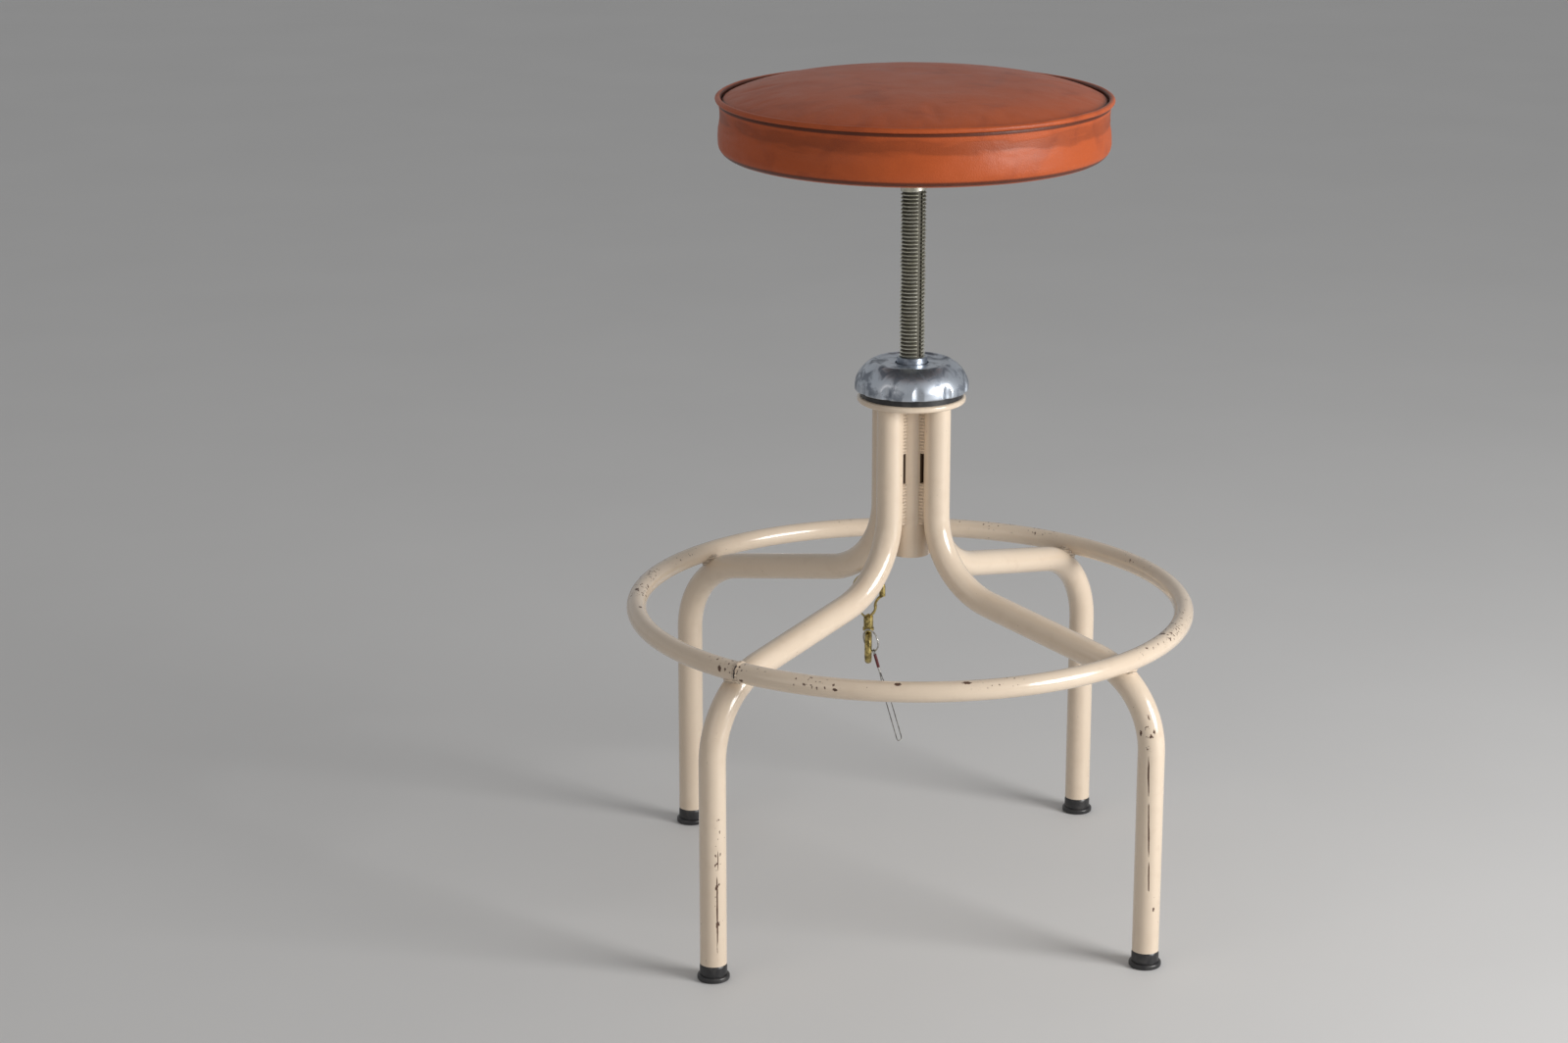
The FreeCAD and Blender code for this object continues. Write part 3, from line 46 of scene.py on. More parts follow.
class Finish:
    """A material, and short calls that build its nodes. A call's input is a number or a socket."""

    def __init__(self, name, **constants):
        self.name = name
        self.material = bpy.data.materials.new(name)
        self.material.use_nodes = True
        self.tree = self.material.node_tree
        self.shader = self.tree.nodes["Principled BSDF"]
        self.place = self.tree.nodes.new("ShaderNodeTexCoord").outputs["Object"]
        for socket, number in constants.items():
            self.shader.inputs[socket.replace("_", " ")].default_value = number

    def feed(self, socket, source):
        self.join(source, self.shader.inputs[socket])

    def join(self, source, socket):
        if isinstance(source, bpy.types.NodeSocket):
            self.tree.links.new(source, socket)
        elif isinstance(source, tuple) and socket.type == "RGBA":
            socket.default_value = (*source, 1)
        else:
            socket.default_value = source

    def node(self, kind, *sources, **settings):
        made = self.tree.nodes.new("ShaderNode" + kind)
        for name, setting in settings.items():
            setattr(made, name, setting)
        for index, source in enumerate(sources):
            self.join(source, made.inputs[index])
        return made

    def math(self, operation, *sources):
        return self.node("Math", *sources, operation=operation).outputs[0]

    def vector_math(self, operation, *sources):
        made = self.node("VectorMath", *sources, operation=operation)
        return made.outputs["Value" if operation in ("LENGTH", "DOT_PRODUCT") else "Vector"]

    def noise(self, scale, detail=2.0, place=None, distortion=0.0):
        made = self.node("TexNoise")
        self.join(place or self.place, made.inputs["Vector"])
        made.inputs["Scale"].default_value = scale
        made.inputs["Detail"].default_value = detail
        made.inputs["Distortion"].default_value = distortion
        return made.outputs[0]

    def cells(self, scale):
        made = self.node("TexVoronoi")
        self.join(self.place, made.inputs["Vector"])
        made.inputs["Scale"].default_value = scale
        return made.outputs["Distance"]

    def stretched(self, x, y, z):
        return self.vector_math("MULTIPLY", self.place, (x, y, z))

    def axes(self):
        return self.node("SeparateXYZ", self.place).outputs

    def radius(self):
        """How far a spot is from the stool's axis."""
        return self.vector_math("LENGTH", self.stretched(1, 1, 0))

    def step(self, source, low, high):
        """Smooth rise from 0 at low to 1 at high, or a fall where low is the larger."""
        if low > high:
            return self.math("SUBTRACT", 1.0, self.step(source, high, low))
        return self.node("MapRange", source, low, high, interpolation_type="SMOOTHSTEP").outputs[0]

    def between(self, source, low, high, soft):
        return self.math("MULTIPLY", self.step(source, low - soft, low),
                         self.step(source, high + soft, high))

    def mix(self, share, first, second):
        made = self.node("Mix", data_type="RGBA")
        for index, source in ((0, share), (6, first), (7, second)):
            self.join(source, made.inputs[index])
        return made.outputs[2]

    def range(self, share, first, second):
        """The number first where share is 0, and second where it is 1."""
        return self.node("MapRange", share, 0.0, 1.0, first, second).outputs[0]

    def bump(self, *layers):
        """Bumps on each other, each one a height from 0 to 1 and its depth in metres."""
        normal = None
        for height, depth in layers:
            made = self.node("Bump")
            made.inputs["Distance"].default_value = depth
            self.join(height, made.inputs["Height"])
            if normal:
                self.join(normal, made.inputs["Normal"])
            normal = made.outputs[0]
        self.feed("Normal", normal)

    def patch(self, spot, half, fuzz, place=None):
        """1 inside a small egg round a spot, with ragged edges. The sizes are in millimetres."""
        spot, half = (tuple(size * MM for size in sizes) for sizes in (spot, half))
        away = self.vector_math("DIVIDE", self.vector_math("SUBTRACT", place or self.place, spot), half)
        return self.step(self.math("ADD", self.vector_math("LENGTH", away), fuzz), 1.04, 0.92)

    def most(self, masks):
        """The largest of several masks."""
        result = masks[0]
        for mask in masks[1:]:
            result = self.math("MAXIMUM", result, mask)
        return result


# Finishes

# Chips in the enamel, as (spot, half size) in millimetres
CHIPS = (
    ((-263.2, 34.7, 307.0), (2.0, 4.0, 3.0)),
    ((-268.5, 14.0, 304.5), (1.6, 6.0, 1.8)),
    ((-262.0, -22.0, 307.0), (1.8, 2.6, 2.4)),
    ((-270.5, -8.0, 302.0), (2.4, 3.0, 1.4)),
    ((-95.7, -257.2, 300.2), (2.2, 5.0, 1.3)),
    ((-40.0, -266.0, 307.0), (2.8, 2.2, 1.6)),
    ((22.3, -267.6, 307.4), (4.2, 2.0, 1.4)),
    ((221.6, -142.2, 307.9), (3.4, 2.8, 1.6)),
    ((232.0, -128.0, 306.0), (2.2, 4.2, 1.6)),
    ((-177.2, -208.5, 294.3), (1.6, 5.0, 1.5)),
    ((-199.1, -215.5, 269.1), (1.1, 5.0, 2.2)),
    ((192.1, -209.0, 234.2), (0.9, 5.0, 2.6)),
    ((208.1, -215.5, 60.8), (1.0, 5.0, 2.0)),
)
# Long scratches down the front legs
SCRATCHES = (
    ((-200.5, -216.0, 70.0), (0.75, 9.0, 37.0)),
    ((-199.6, -216.0, 122.0), (0.45, 9.0, 9.0)),
)
LEANING_SCRATCHES = (
    ((205.2, -216.0, 196.0), (0.75, 9.0, 20.0)),
    ((205.2, -216.0, 141.0), (0.7, 9.0, 28.0)),
    ((205.2, -216.0, 94.0), (0.75, 9.0, 16.0)),
)
SCRATCH_LEAN = 0.0294
# Areas with many small chips
WORN_AREAS = (
    ((-264.0, 40.0, 304.0), (14.0, 34.0, 7.0)),
    ((-250.0, 92.0, 306.0), (12.0, 22.0, 4.0)),
    ((-190.0, -196.0, 304.0), (22.0, 22.0, 6.0)),
    ((-110.0, -246.0, 303.0), (34.0, 16.0, 5.0)),
    ((-200.0, -216.0, 262.0), (5.0, 9.0, 24.0)),
    ((-200.0, -216.0, 110.0), (3.0, 9.0, 60.0)),
    ((230.0, -130.0, 305.0), (18.0, 26.0, 5.0)),
    ((200.0, -215.0, 240.0), (5.0, 9.0, 22.0)),
)
# Directions from the column to the legs, and along the ring's tube at its butt weld
DIAGONAL, OTHER_DIAGONAL = (0.70711, 0.70711, 0.0), (0.70711, -0.70711, 0.0)
ACROSS_RING_BEAD = (0.74314, -0.66913, 0.0)
# Lengths, in metres, at which a pattern comes again
WELD_WAVE = FULL_TURN / 1900.0
PLY_PAIR = 0.0034
THREAD_PAIR = FULL_TURN / 5200.0


def cream_enamel():
    """Glossy old enamel, chipped down to brown metal where shoes and hands meet it."""
    finish = Finish("cream_enamel", Coat_Weight=0.5, Coat_Roughness=0.06)
    z = finish.axes()[2]
    ragged = finish.range(finish.noise(900, 4), -0.9, 0.9)
    drawn_out = finish.range(finish.noise(700, 3, finish.stretched(1, 1, 0.1)), -0.8, 0.8)
    leaning = finish.node("CombineXYZ", finish.math("MULTIPLY", z, SCRATCH_LEAN), 0.0, 0.0).outputs[0]
    leaning = finish.vector_math("ADD", finish.place, leaning)
    chips = [finish.patch(spot, half, ragged) for spot, half in CHIPS]
    chips += [finish.patch(spot, half, drawn_out) for spot, half in SCRATCHES]
    chips += [finish.patch(spot, half, drawn_out, leaning) for spot, half in LEANING_SCRATCHES]
    spots = finish.step(finish.noise(300, 4, finish.stretched(1, 1, 0.6)), 0.605, 0.62)
    areas = finish.most([finish.patch(spot, half, finish.range(finish.noise(60, 2), -0.5, 0.5))
                         for spot, half in WORN_AREAS])
    chips.append(finish.math("MULTIPLY", spots, areas))
    # Shoes have worn the ring's upper half in places
    on_ring = finish.math("MULTIPLY", finish.step(z, 0.3005, 0.3045),
                          finish.between(finish.radius(), 0.2555, 0.275, 0.003))
    worn = finish.math("MULTIPLY", finish.step(finish.noise(11, 1), 0.5, 0.62), on_ring)
    fine = finish.step(finish.noise(330, 4), 0.64, 0.655)
    chips.append(finish.math("MULTIPLY", worn, fine))
    chips.append(finish.step(finish.noise(380, 2), 0.775, 0.785))
    chipped = finish.most(chips)
    tone = finish.mix(finish.noise(9, 2), (0.69, 0.56, 0.43), (0.77, 0.65, 0.515))
    tone = finish.mix(finish.math("MULTIPLY", finish.step(finish.noise(70, 4), 0.5, 0.8), 0.2),
                      tone, (0.56, 0.43, 0.31))
    # Painted shade in the open slots between the column and the legs, halfway up the welds
    across = finish.math("ABSOLUTE", finish.vector_math("DOT_PRODUCT", finish.place, DIAGONAL))
    along = finish.math("ABSOLUTE", finish.vector_math("DOT_PRODUCT", finish.place, OTHER_DIAGONAL))
    slot_shade = finish.math("MULTIPLY", finish.step(finish.radius(), 0.0212, 0.0204),
                       finish.step(finish.math("MINIMUM", across, along), 0.0080, 0.0072))
    slot_shade = finish.math("MULTIPLY", slot_shade, finish.between(z, 0.4245, 0.4535, 0.001))
    tone = finish.mix(slot_shade, tone, (0.05, 0.028, 0.017))
    bare = finish.mix(finish.noise(500, 3), (0.035, 0.018, 0.012), (0.16, 0.075, 0.04))
    finish.feed("Base Color", finish.mix(chipped, tone, bare))
    finish.feed("Roughness", finish.range(chipped, finish.range(finish.noise(25, 3), 0.12, 0.28), 0.7))
    finish.bump((finish.noise(45, 1), 0.0003), (finish.noise(420, 2), 0.00003),
                (finish.math("SUBTRACT", 1.0, chipped), 0.0003))
    return finish


def enamelled_weld():
    """The enamel where it lies over a weld bead's ripples, and the crack in the ring's own bead."""
    finish = Finish("enamelled_weld", Coat_Weight=0.4, Coat_Roughness=0.08)
    ripples = finish.noise(170, 2, distortion=0.6)
    z = finish.axes()[2]
    waves = finish.math("SINE", finish.math("MULTIPLY", z, FULL_TURN / WELD_WAVE))
    waves = finish.range(finish.math("ADD", waves, finish.math("MULTIPLY", ripples, 2.0)), -1.0, 3.0)
    deep = finish.step(ripples, 0.46, 0.34)
    tone = finish.mix(finish.math("MULTIPLY", deep, 0.3), (0.70, 0.575, 0.445), (0.42, 0.29, 0.19))
    past = finish.vector_math("DOT_PRODUCT", finish.place, ACROSS_RING_BEAD)
    past = finish.math("ADD", past, finish.range(finish.noise(260, 3), -0.0016, 0.0016))
    crack = finish.math("MULTIPLY", finish.between(past, 0.0004, 0.0014, 0.0004),
                        finish.between(z, 0.2955, 0.3065, 0.0006))
    crack = finish.math("MULTIPLY", crack, finish.step(finish.radius(), 0.2640, 0.2660))
    finish.feed("Base Color", finish.mix(crack, tone, (0.03, 0.016, 0.011)))
    finish.feed("Roughness", finish.range(finish.noise(90, 2), 0.18, 0.36))
    finish.bump((waves, 0.00035), (ripples, 0.0005))
    return finish


def seat_vinyl():
    """Rust-coloured vinyl with a fine grain and soft darker mottles."""
    finish = Finish("seat_vinyl", Specular_IOR_Level=0.3)
    tone = finish.mix(finish.noise(6, 3), (0.38, 0.066, 0.014), (0.50, 0.104, 0.026))
    mottles = finish.step(finish.noise(26, 4, distortion=0.8), 0.5, 0.72)
    tone = finish.mix(finish.math("MULTIPLY", mottles, 0.38), tone, (0.25, 0.042, 0.013))
    # Painted shade in the seam on both sides of the piping, where the gap under it falls dark
    below = finish.between(finish.axes()[2], 0.7868, 0.7893, 0.0012)
    inside = finish.between(finish.radius(), 0.1788, 0.1812, 0.0014)
    seam = finish.math("MULTIPLY", finish.math("MAXIMUM", below, inside), 0.85)
    finish.feed("Base Color", finish.mix(seam, tone, (0.05, 0.012, 0.006)))
    grain = finish.cells(780)
    finish.feed("Roughness", finish.range(finish.noise(30, 3), 0.32, 0.5))
    finish.bump((finish.noise(60, 2), 0.0004), (grain, 0.00012), (finish.noise(1900, 2), 0.00006))
    return finish


def black_rubber():
    finish = Finish("black_rubber", Specular_IOR_Level=0.6)
    dust = finish.step(finish.noise(90, 4), 0.5, 0.75)
    finish.feed("Base Color", finish.mix(finish.math("MULTIPLY", dust, 0.35), (0.014, 0.014, 0.016),
                                         (0.10, 0.095, 0.09)))
    finish.feed("Roughness", finish.range(finish.noise(60, 3), 0.2, 0.5))
    finish.bump((finish.noise(700, 3), 0.00012))
    return finish


def bright_plate():
    """The hand wheel's bright plating, with dull blotches and fine pits."""
    finish = Finish("bright_plate", Metallic=1.0)
    blotches = finish.step(finish.noise(75, 5, distortion=0.7), 0.44, 0.62)
    pits = finish.step(finish.noise(600, 3), 0.68, 0.74)
    tone = finish.mix(blotches, (0.55, 0.60, 0.67), (0.25, 0.28, 0.33))
    finish.feed("Base Color", finish.mix(finish.math("MULTIPLY", pits, 0.7), tone, (0.10, 0.10, 0.11)))
    finish.feed("Roughness", finish.range(blotches, 0.34, 0.48))
    finish.bump((finish.noise(90, 2), 0.00012), (pits, 0.0001))
    return finish


def spindle_steel():
    """Zinc-grey screw thread: bright on the crests, old grease in the grooves and the keyway."""
    finish = Finish("spindle_steel")
    depth = finish.step(finish.radius(), 0.0118, 0.0107)
    rubbed = finish.step(finish.noise(120, 3), 0.4, 0.65)
    crest = finish.mix(rubbed, (0.80, 0.79, 0.70), (0.56, 0.55, 0.45))
    finish.feed("Base Color", finish.mix(depth, crest, (0.085, 0.08, 0.062)))
    finish.feed("Metallic", finish.range(depth, 1.0, 0.5))
    finish.feed("Roughness", finish.range(depth, finish.range(rubbed, 0.22, 0.42), 0.6))
    finish.bump((finish.noise(900, 3), 0.00008))
    return finish


def plain_metal(name, light, dark, smooth, dull, scale=140.0):
    """A metal that varies between two tones, smooth where light and dull where dark."""
    finish = Finish(name, Metallic=1.0)
    patina = finish.step(finish.noise(scale, 4, distortion=0.4), 0.38, 0.66)
    finish.feed("Base Color", finish.mix(patina, light, dark))
    finish.feed("Roughness", finish.range(patina, smooth, dull))
    finish.bump((finish.noise(scale * 4, 3), 0.0001))
    return finish


def plywood():
    finish = Finish("plywood", Roughness=0.65)
    z = finish.axes()[2]
    plies = finish.math("SINE", finish.math("MULTIPLY", z, FULL_TURN / PLY_PAIR))
    plies = finish.step(plies, -0.2, 0.2)
    figure = finish.noise(40, 4, finish.stretched(1, 0.08, 1))
    layers = finish.mix(plies, (0.30, 0.18, 0.09), (0.50, 0.34, 0.19))
    finish.feed("Base Color", finish.mix(figure, layers, (0.58, 0.41, 0.25)))
    finish.bump((figure, 0.0003))
    return finish


def black_cloth():
    finish = Finish("black_cloth", Roughness=0.85, Sheen_Weight=0.2)
    x, y = finish.axes()[:2]
    warp = finish.math("SINE", finish.math("MULTIPLY", x, FULL_TURN / THREAD_PAIR))
    weft = finish.math("SINE", finish.math("MULTIPLY", y, FULL_TURN / THREAD_PAIR))
    weave = finish.range(finish.math("MULTIPLY", warp, weft), -1.0, 1.0)
    finish.feed("Base Color", finish.mix(weave, (0.010, 0.010, 0.011), (0.035, 0.034, 0.036)))
    finish.bump((weave, 0.0003))
    return finish


def red_sleeve():
    finish = Finish("red_sleeve", Roughness=0.4)
    tone = finish.mix(finish.noise(300, 3), (0.06, 0.008, 0.010), (0.16, 0.020, 0.022))
    finish.feed("Base Color", tone)
    finish.bump((finish.noise(900, 2), 0.0002))
    return finish


ENAMEL = cream_enamel()
WELD = enamelled_weld()
VINYL = seat_vinyl()
RUBBER = black_rubber()
PLATE = bright_plate()
SCREW = spindle_steel()
BLACK_CLOTH = black_cloth()
BRONZE = plain_metal("bush_bronze", (0.55, 0.36, 0.16), (0.30, 0.17, 0.07), 0.3, 0.5)
BEARING = plain_metal("bearing_steel", (0.62, 0.62, 0.63), (0.40, 0.40, 0.42), 0.15, 0.3)
CAGE = plain_metal("cage_brass", (0.70, 0.52, 0.22), (0.42, 0.29, 0.10), 0.25, 0.45)
DARK_STEEL = plain_metal("dark_steel", (0.12, 0.12, 0.125), (0.05, 0.048, 0.045), 0.4, 0.6, 60.0)
AGED_BRASS = plain_metal("aged_brass", (0.55, 0.44, 0.17), (0.20, 0.155, 0.06), 0.3, 0.55, 260.0)
NICKEL = plain_metal("wire_nickel", (0.66, 0.65, 0.62), (0.36, 0.35, 0.33), 0.22, 0.4, 300.0)
WIRE = plain_metal("wire_steel", (0.30, 0.29, 0.27), (0.10, 0.095, 0.09), 0.3, 0.5, 300.0)
SLEEVE = red_sleeve()
BOARD = plywood()

LEGS = ("rear_right", "rear_left", "front_left", "front_right")
CAD_FINISHES = (
    (ENAMEL, ["centre_tube", "top_plate", "foot_ring", "hook_eyelet"]),
    (ENAMEL, ["leg_" + leg for leg in LEGS]),
    (WELD, ["ring_butt_weld", "ring_welds", "leg_welds"]),
    (RUBBER, ["dust_washer"] + ["foot_tip_" + leg for leg in LEGS]),
    (BRONZE, ["guide_bush"]),
    (SCREW, ["spindle", "spindle_key", "stop_washer", "stop_screw"]),
    (BEARING, ["lower_race", "upper_race", "bearing_balls", "thrust_washer", "retaining_ring"]),
    (CAGE, ["ball_cage"]),
    (PLATE, ["spindle_nut", "plate_screws", "cover_staples", "handwheel_shell"]),
    (DARK_STEEL, ["seat_plate", "seat_hub"]),
    (BOARD, ["seat_board"]),
    (AGED_BRASS, ["snap_body", "gate_rivet", "snap_gate", "swivel_eye"]),
    (NICKEL, ["split_ring", "loop_ferrule"]),
    (WIRE, ["wire_loop"]),
    (SLEEVE, ["loop_sleeve"]),
)
for finish, names in CAD_FINISHES:
    for name in names:
        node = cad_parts[name]
        node.data.materials.clear()
        node.data.materials.append(finish.material)


# Making pieces

def lathe(points, steps):
    """Spins a line of (radius, height) points, in millimetres, round the stool's axis."""
    bm = bmesh.new()
    line = [bm.verts.new((radius * MM, 0, height * MM)) for radius, height in points]
    edges = [bm.edges.new(pair) for pair in zip(line, line[1:])]
    bmesh.ops.spin(bm, geom=line + edges, cent=(0, 0, 0), axis=(0, 0, 1),
                   angle=FULL_TURN, steps=steps, use_merge=True)
    bmesh.ops.remove_doubles(bm, verts=bm.verts, dist=0.00001)
    bmesh.ops.recalc_face_normals(bm, faces=bm.faces)
    return bm


def keep(bm, name, finish, body, *stands_for, sharp=45):
    """Turns a bmesh into a piece that moves with its body and stands for those CAD nodes."""
    mesh = bpy.data.meshes.new(name)
    bm.to_mesh(mesh)
    bm.free()
    mesh.materials.append(finish.material)
    mesh.polygons.foreach_set("use_smooth", [True] * len(mesh.polygons))
    mesh.set_sharp_from_angle(angle=math.radians(sharp))
    piece = bpy.data.objects.new(name, mesh)
    bpy.context.scene.collection.objects.link(piece)
    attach(piece, body)
    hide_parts(*stands_for)
    return piece


def add_modifier(piece, name, kind, **settings):
    modifier = piece.modifiers.new(name, kind)
    for setting, value in settings.items():
        setattr(modifier, setting, value)
    return modifier


def apply_modifiers(piece):
    finished = piece.evaluated_get(bpy.context.evaluated_depsgraph_get())
    shape = bpy.data.meshes.new_from_object(finished)
    piece.modifiers.clear()
    piece.data = shape


def arc(start, end, rise, count):
    """Points of a shallow arc from start to end, whose middle stands off the chord by rise."""
    (r0, z0), (r1, z1) = start, end
    long = math.hypot(r1 - r0, z1 - z0)
    out = ((z0 - z1) / long * rise, (r1 - r0) / long * rise)

    def spot(share):
        bow = 4 * share * (1 - share)
        return r0 + (r1 - r0) * share + out[0] * bow, z0 + (z1 - z0) * share + out[1] * bow

    return [spot(step / count) for step in range(count + 1)]


# Seat. Sizes in millimetres.

SEAT_RADIUS = 183.86
SEAT_UNDERSIDE, CORNER_RADIUS = 740, 12
COVER_HALF = 0.6
PIPING_RADIUS, PIPING_HALF, SEAM_HEIGHT = 183.5, 2.75, 792.0
BOARD_TOP = 753.2
HELD_OUTSIDE, HELD_BELOW = 177.5, 757
SWELL_CAP = 1.4
CLOTH_FRAMES = 20
CREASES_FROM, CREASES_TO = 745, 788
GATHERS_FROM, GATHERS_TO = 155, 170.5
DUST_COVER_BORE, DUST_COVER_RADIUS = 76.5, 165


def cushion_top():
    """Top cover on its foam: a crowned block, blown up as cloth against its seam."""
    bm = lathe([(0, 810.6), (60, 809.9), (110, 807.8), (140, 804.2), (160, 799.2), (172, 795.0),
                (179, 792.2), (181.4, 790.0), (182.3, 786.0), (182.0, 775.0), (182.3, 762.0),
                (182.3, BOARD_TOP + 0.2), (0, BOARD_TOP + 0.2)], 180)
    piece = keep(bm, "cushion_top", VINYL, "seat", "seat_top_cover", "seat_foam", sharp=180)
    add_modifier(piece, "even_mesh", "REMESH", mode="VOXEL", voxel_size=0.005, use_smooth_shade=True)
    apply_modifiers(piece)
    blow_up(piece)
    add_modifier(piece, "finer", "SUBSURF", levels=1, render_levels=1)


def blow_up(piece):
    """Cloth under pressure, held at its seam and on the board, with its movement capped."""
    start = [vertex.co.copy() for vertex in piece.data.vertices]
    held = piece.vertex_groups.new(name="held")
    for vertex in piece.data.vertices:
        if vertex.co.xy.length > HELD_OUTSIDE * MM or vertex.co.z < HELD_BELOW * MM:
            held.add([vertex.index], 1.0, "REPLACE")
    cloth = add_modifier(piece, "cloth", "CLOTH").settings
    cloth.quality = 6
    cloth.mass = 0.3
    cloth.tension_stiffness = cloth.compression_stiffness = 25
    cloth.bending_stiffness = 2
    cloth.use_pressure = True
    cloth.uniform_pressure_force = 4
    cloth.vertex_group_mass = "held"
    cloth.effector_weights.gravity = 0
    scene = bpy.context.scene
    for number in range(1, CLOTH_FRAMES + 1):
        scene.frame_set(number)
    apply_modifiers(piece)
    scene.frame_set(1)
    for vertex, before in zip(piece.data.vertices, start):
        moved = vertex.co - before
        vertex.co = before + moved * min(1.0, SWELL_CAP * MM / max(moved.length, 1e-9))


def cushion_band():
    """Side band, drawn in at its middle and softly creased, then gathered under the board."""
    turns = [step * math.pi / 16 for step in range(9)]
    corner = [(SEAT_RADIUS - CORNER_RADIUS * (1 - math.cos(turn)),
               SEAT_UNDERSIDE + CORNER_RADIUS * (1 - math.sin(turn))) for turn in turns]
    side = arc((SEAT_RADIUS - 0.5, 789.4), (SEAT_RADIUS, 762), -1.6, 12)
    under = [(radius, SEAT_UNDERSIDE) for radius in (165, 158, 149.9)]
    points = [(181.6, 790.6)] + side + [(SEAT_RADIUS, 757)] + corner + under
    bm = lathe([(radius - COVER_HALF, height) for radius, height in points], 360)
    for vertex in bm.verts:
        around = math.atan2(vertex.co.y, vertex.co.x)
        height = vertex.co.z / MM
        radius = vertex.co.xy.length / MM
        if height > CREASES_FROM:
            fade = min(1.0, (CREASES_TO - height) / 10, (height - CREASES_FROM) / 8)
            spot = Vector((math.cos(around) * 5, math.sin(around) * 5, height * 0.16))
            crease = noise.noise(spot) + 0.5 * noise.noise(spot * 2.3)
            out = vertex.co.xy.normalized()
            vertex.co.xy += out * (crease * 0.75 - 0.15) * max(0.0, fade) * MM
        elif GATHERS_FROM < radius < GATHERS_TO:
            gather = math.sin(around * 72 + 3 * noise.noise(Vector((around * 4, 0, 0))))
            fade = min(1.0, (GATHERS_TO - radius) / 6)
            vertex.co.z += 0.35 * gather * fade * MM
    piece = keep(bm, "cushion_band", VINYL, "seat", "seat_boxing", sharp=180)
    add_modifier(piece, "thick", "SOLIDIFY", thickness=2 * COVER_HALF * MM, offset=0.0)


def cushion_piping():
    """Piping over its cord, in the seam between the top and the band."""
    bm = bmesh.new()
    ring = bmesh.ops.create_circle(bm, segments=16, radius=PIPING_HALF * MM)["verts"]
    bmesh.ops.rotate(bm, verts=ring, matrix=Matrix.Rotation(math.pi / 2, 3, "X"))
    bmesh.ops.translate(bm, verts=ring, vec=(PIPING_RADIUS * MM, 0, SEAM_HEIGHT * MM))
    bmesh.ops.spin(bm, geom=bm.verts[:] + bm.edges[:], cent=(0, 0, 0), axis=(0, 0, 1),
                   angle=FULL_TURN, steps=360, use_merge=True)
    bmesh.ops.recalc_face_normals(bm, faces=bm.faces)
    for vertex in bm.verts:
        spot = vertex.co * 28
        vertex.co.z += 0.35 * noise.noise(spot) * MM
        vertex.co.xy *= 1 + 0.0012 * noise.noise(spot * 1.7)
    piece = keep(bm, "cushion_piping", VINYL, "seat", "seat_welt", sharp=180)


def dust_cloth():
    """Black cloth under the board, stretched and stapled over the band's turned edge."""
    bm = lathe([(DUST_COVER_BORE, 740.9), (95, 740.85), (115, 740.8), (135, 740.85), (149, 740.85),
                (150.4, 739.7), (158, 739.7), (DUST_COVER_RADIUS, 739.7)], 180)
    for vertex in bm.verts:
        if vertex.co.xy.length < 0.148:
            vertex.co.z -= 0.25 * abs(noise.noise(vertex.co * 30)) * MM
    piece = keep(bm, "dust_cloth", BLACK_CLOTH, "seat", "seat_dust_cover", sharp=180)
    add_modifier(piece, "thick", "SOLIDIFY", thickness=0.0006, offset=0.0)


# Hand wheel. Sizes in millimetres.

FLUTES, FLUTE_RADIUS, FLUTE_CIRCLE, FIRST_FLUTE = 11, 7.0, 59.1, math.radians(270)
STEPS_PER_FLUTE = 26
FLUTE_EDGE = 0.5
INSIDE_OF_RIM = 51


def handwheel_shell():
    """Pressed shell: a dished top, a round shoulder and flutes pressed into the rim."""
    shoulder = arc((54.5, 520), (38.0, 540.9), -2.9, 12)
    outer = [(53.6, 513), (54.3, 513.5), (54.5, 515)] + shoulder + [
        (36.4, 541.0), (35.0, 540.5), (34.0, 539.8), (32.5, 539.5), (24, 539.5), (15.0, 539.5)]
    inner = [(15.0, 537.5), (32.5, 537.5), (36.5, 537.8), (43, 531.5),
             (48, 524), (50.5, 517), (50.7, 513)]
    bm = lathe(outer + inner + [(53.6, 513)], FLUTES * STEPS_PER_FLUTE)
    pitch = FULL_TURN / FLUTES
    for vertex in bm.verts:
        around = math.atan2(vertex.co.y, vertex.co.x) - FIRST_FLUTE
        off = around - pitch * round(around / pitch)
        reach = FLUTE_RADIUS ** 2 - (FLUTE_CIRCLE * math.sin(off)) ** 2
        if reach <= 0:
            continue
        limit = FLUTE_CIRCLE * math.cos(off) - math.sqrt(reach)
        radius = vertex.co.xy.length / MM
        over = radius - limit
        if over > -FLUTE_EDGE and radius > INSIDE_OF_RIM:
            pressed = over if over > FLUTE_EDGE else (over + FLUTE_EDGE) ** 2 / (4 * FLUTE_EDGE)
            vertex.co.xy *= (radius - pressed) / radius
    piece = keep(bm, "pressed_handwheel", PLATE, "handwheel", "handwheel_shell", sharp=60)
    add_modifier(piece, "finer", "SUBSURF", levels=1, render_levels=1)


cushion_top()
cushion_band()
cushion_piping()
dust_cloth()
handwheel_shell()


# Floor, lights and camera

def soft_light(name, place, target, size, power, color):
    lamp = bpy.data.lights.new(name, "AREA")
    lamp.shape = "DISK"
    lamp.size = size
    lamp.energy = power
    lamp.color = color
    thing = bpy.data.objects.new(name, lamp)
    thing.location = place
    thing.rotation_euler = (Vector(target) - thing.location).to_track_quat("-Z", "Y").to_euler()
    bpy.context.scene.collection.objects.link(thing)


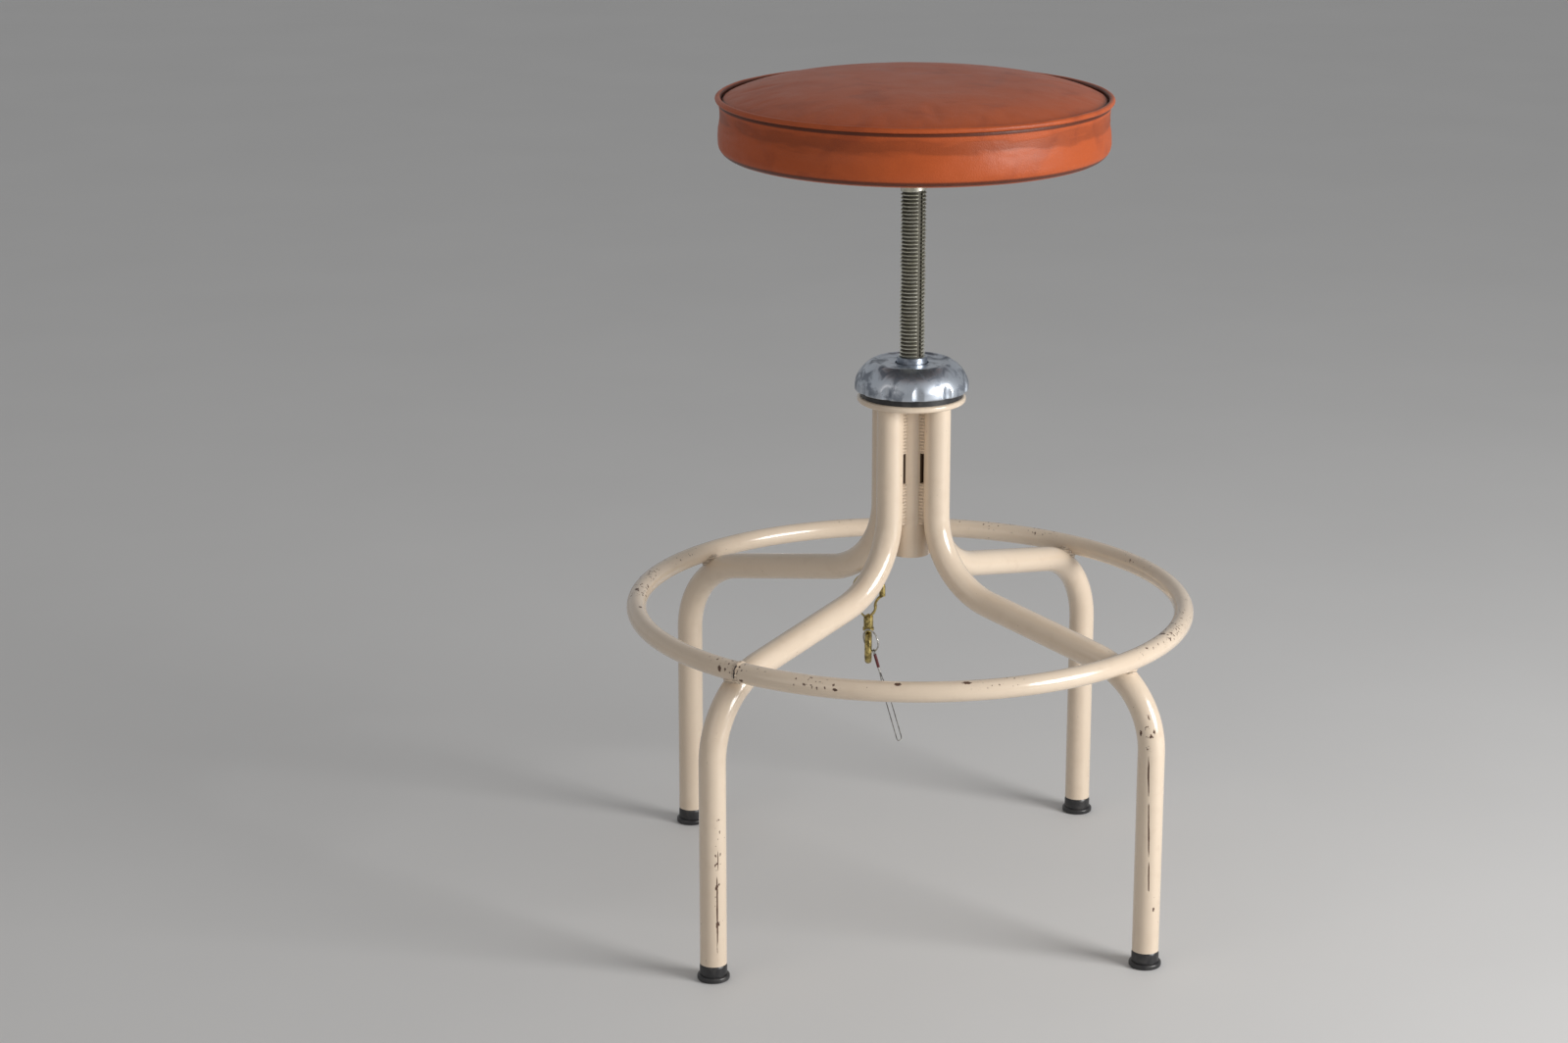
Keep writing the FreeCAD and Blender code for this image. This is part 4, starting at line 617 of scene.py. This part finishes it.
def pale_floor():
    bm = bmesh.new()
    bmesh.ops.create_circle(bm, cap_ends=True, segments=96, radius=16)
    mesh = bpy.data.meshes.new("floor")
    bm.to_mesh(mesh)
    bm.free()
    floor = bpy.data.objects.new("floor", mesh)
    bpy.context.scene.collection.objects.link(floor)
    paint = Finish("pale_floor", Roughness=0.6)
    paint.feed("Base Color", paint.mix(paint.noise(3, 3), (0.72, 0.72, 0.72), (0.77, 0.77, 0.77)))
    mesh.materials.append(paint.material)


def studio_world():
    """White surroundings, a little brighter to the camera, in reflections and through glass."""
    world = bpy.data.worlds.new("studio")
    world.use_nodes = True
    nodes, links = world.node_tree.nodes, world.node_tree.links
    ray = nodes.new("ShaderNodeLightPath").outputs
    seen = ray["Is Camera Ray"]
    for kind in ("Is Glossy Ray", "Is Transmission Ray"):
        either = nodes.new("ShaderNodeMath")
        either.operation = "MAXIMUM"
        links.new(seen, either.inputs[0])
        links.new(ray[kind], either.inputs[1])
        seen = either.outputs[0]
    strength = nodes.new("ShaderNodeMapRange")
    strength.inputs["To Min"].default_value = 0.3
    strength.inputs["To Max"].default_value = 0.4
    links.new(seen, strength.inputs["Value"])
    background = nodes["Background"].inputs
    links.new(strength.outputs[0], background["Strength"])
    background["Color"].default_value = (1, 1, 1, 1)
    bpy.context.scene.world = world


MIDDLE_OF_STOOL = (0, 0, 0.45)

pale_floor()
studio_world()
soft_light("window", (2.3, -1.6, 1.15), MIDDLE_OF_STOOL, 1.5, 78, (1.0, 0.985, 0.965))
soft_light("fill", (-2.6, -2.2, 1.6), MIDDLE_OF_STOOL, 2.4, 8, (1.0, 0.88, 0.76))

camera = bpy.data.objects.new("camera", bpy.data.cameras.new("camera"))
camera.location = (-0.3642, -3.1744, 1.3091)
camera.rotation_euler = (math.radians(90 - 16.2095), 0, math.radians(-4.3611))
camera.data.lens = 79.107
camera.data.sensor_width = 36
bpy.context.scene.collection.objects.link(camera)
bpy.context.scene.camera = camera
bpy.context.scene.view_settings.view_transform = "Standard"
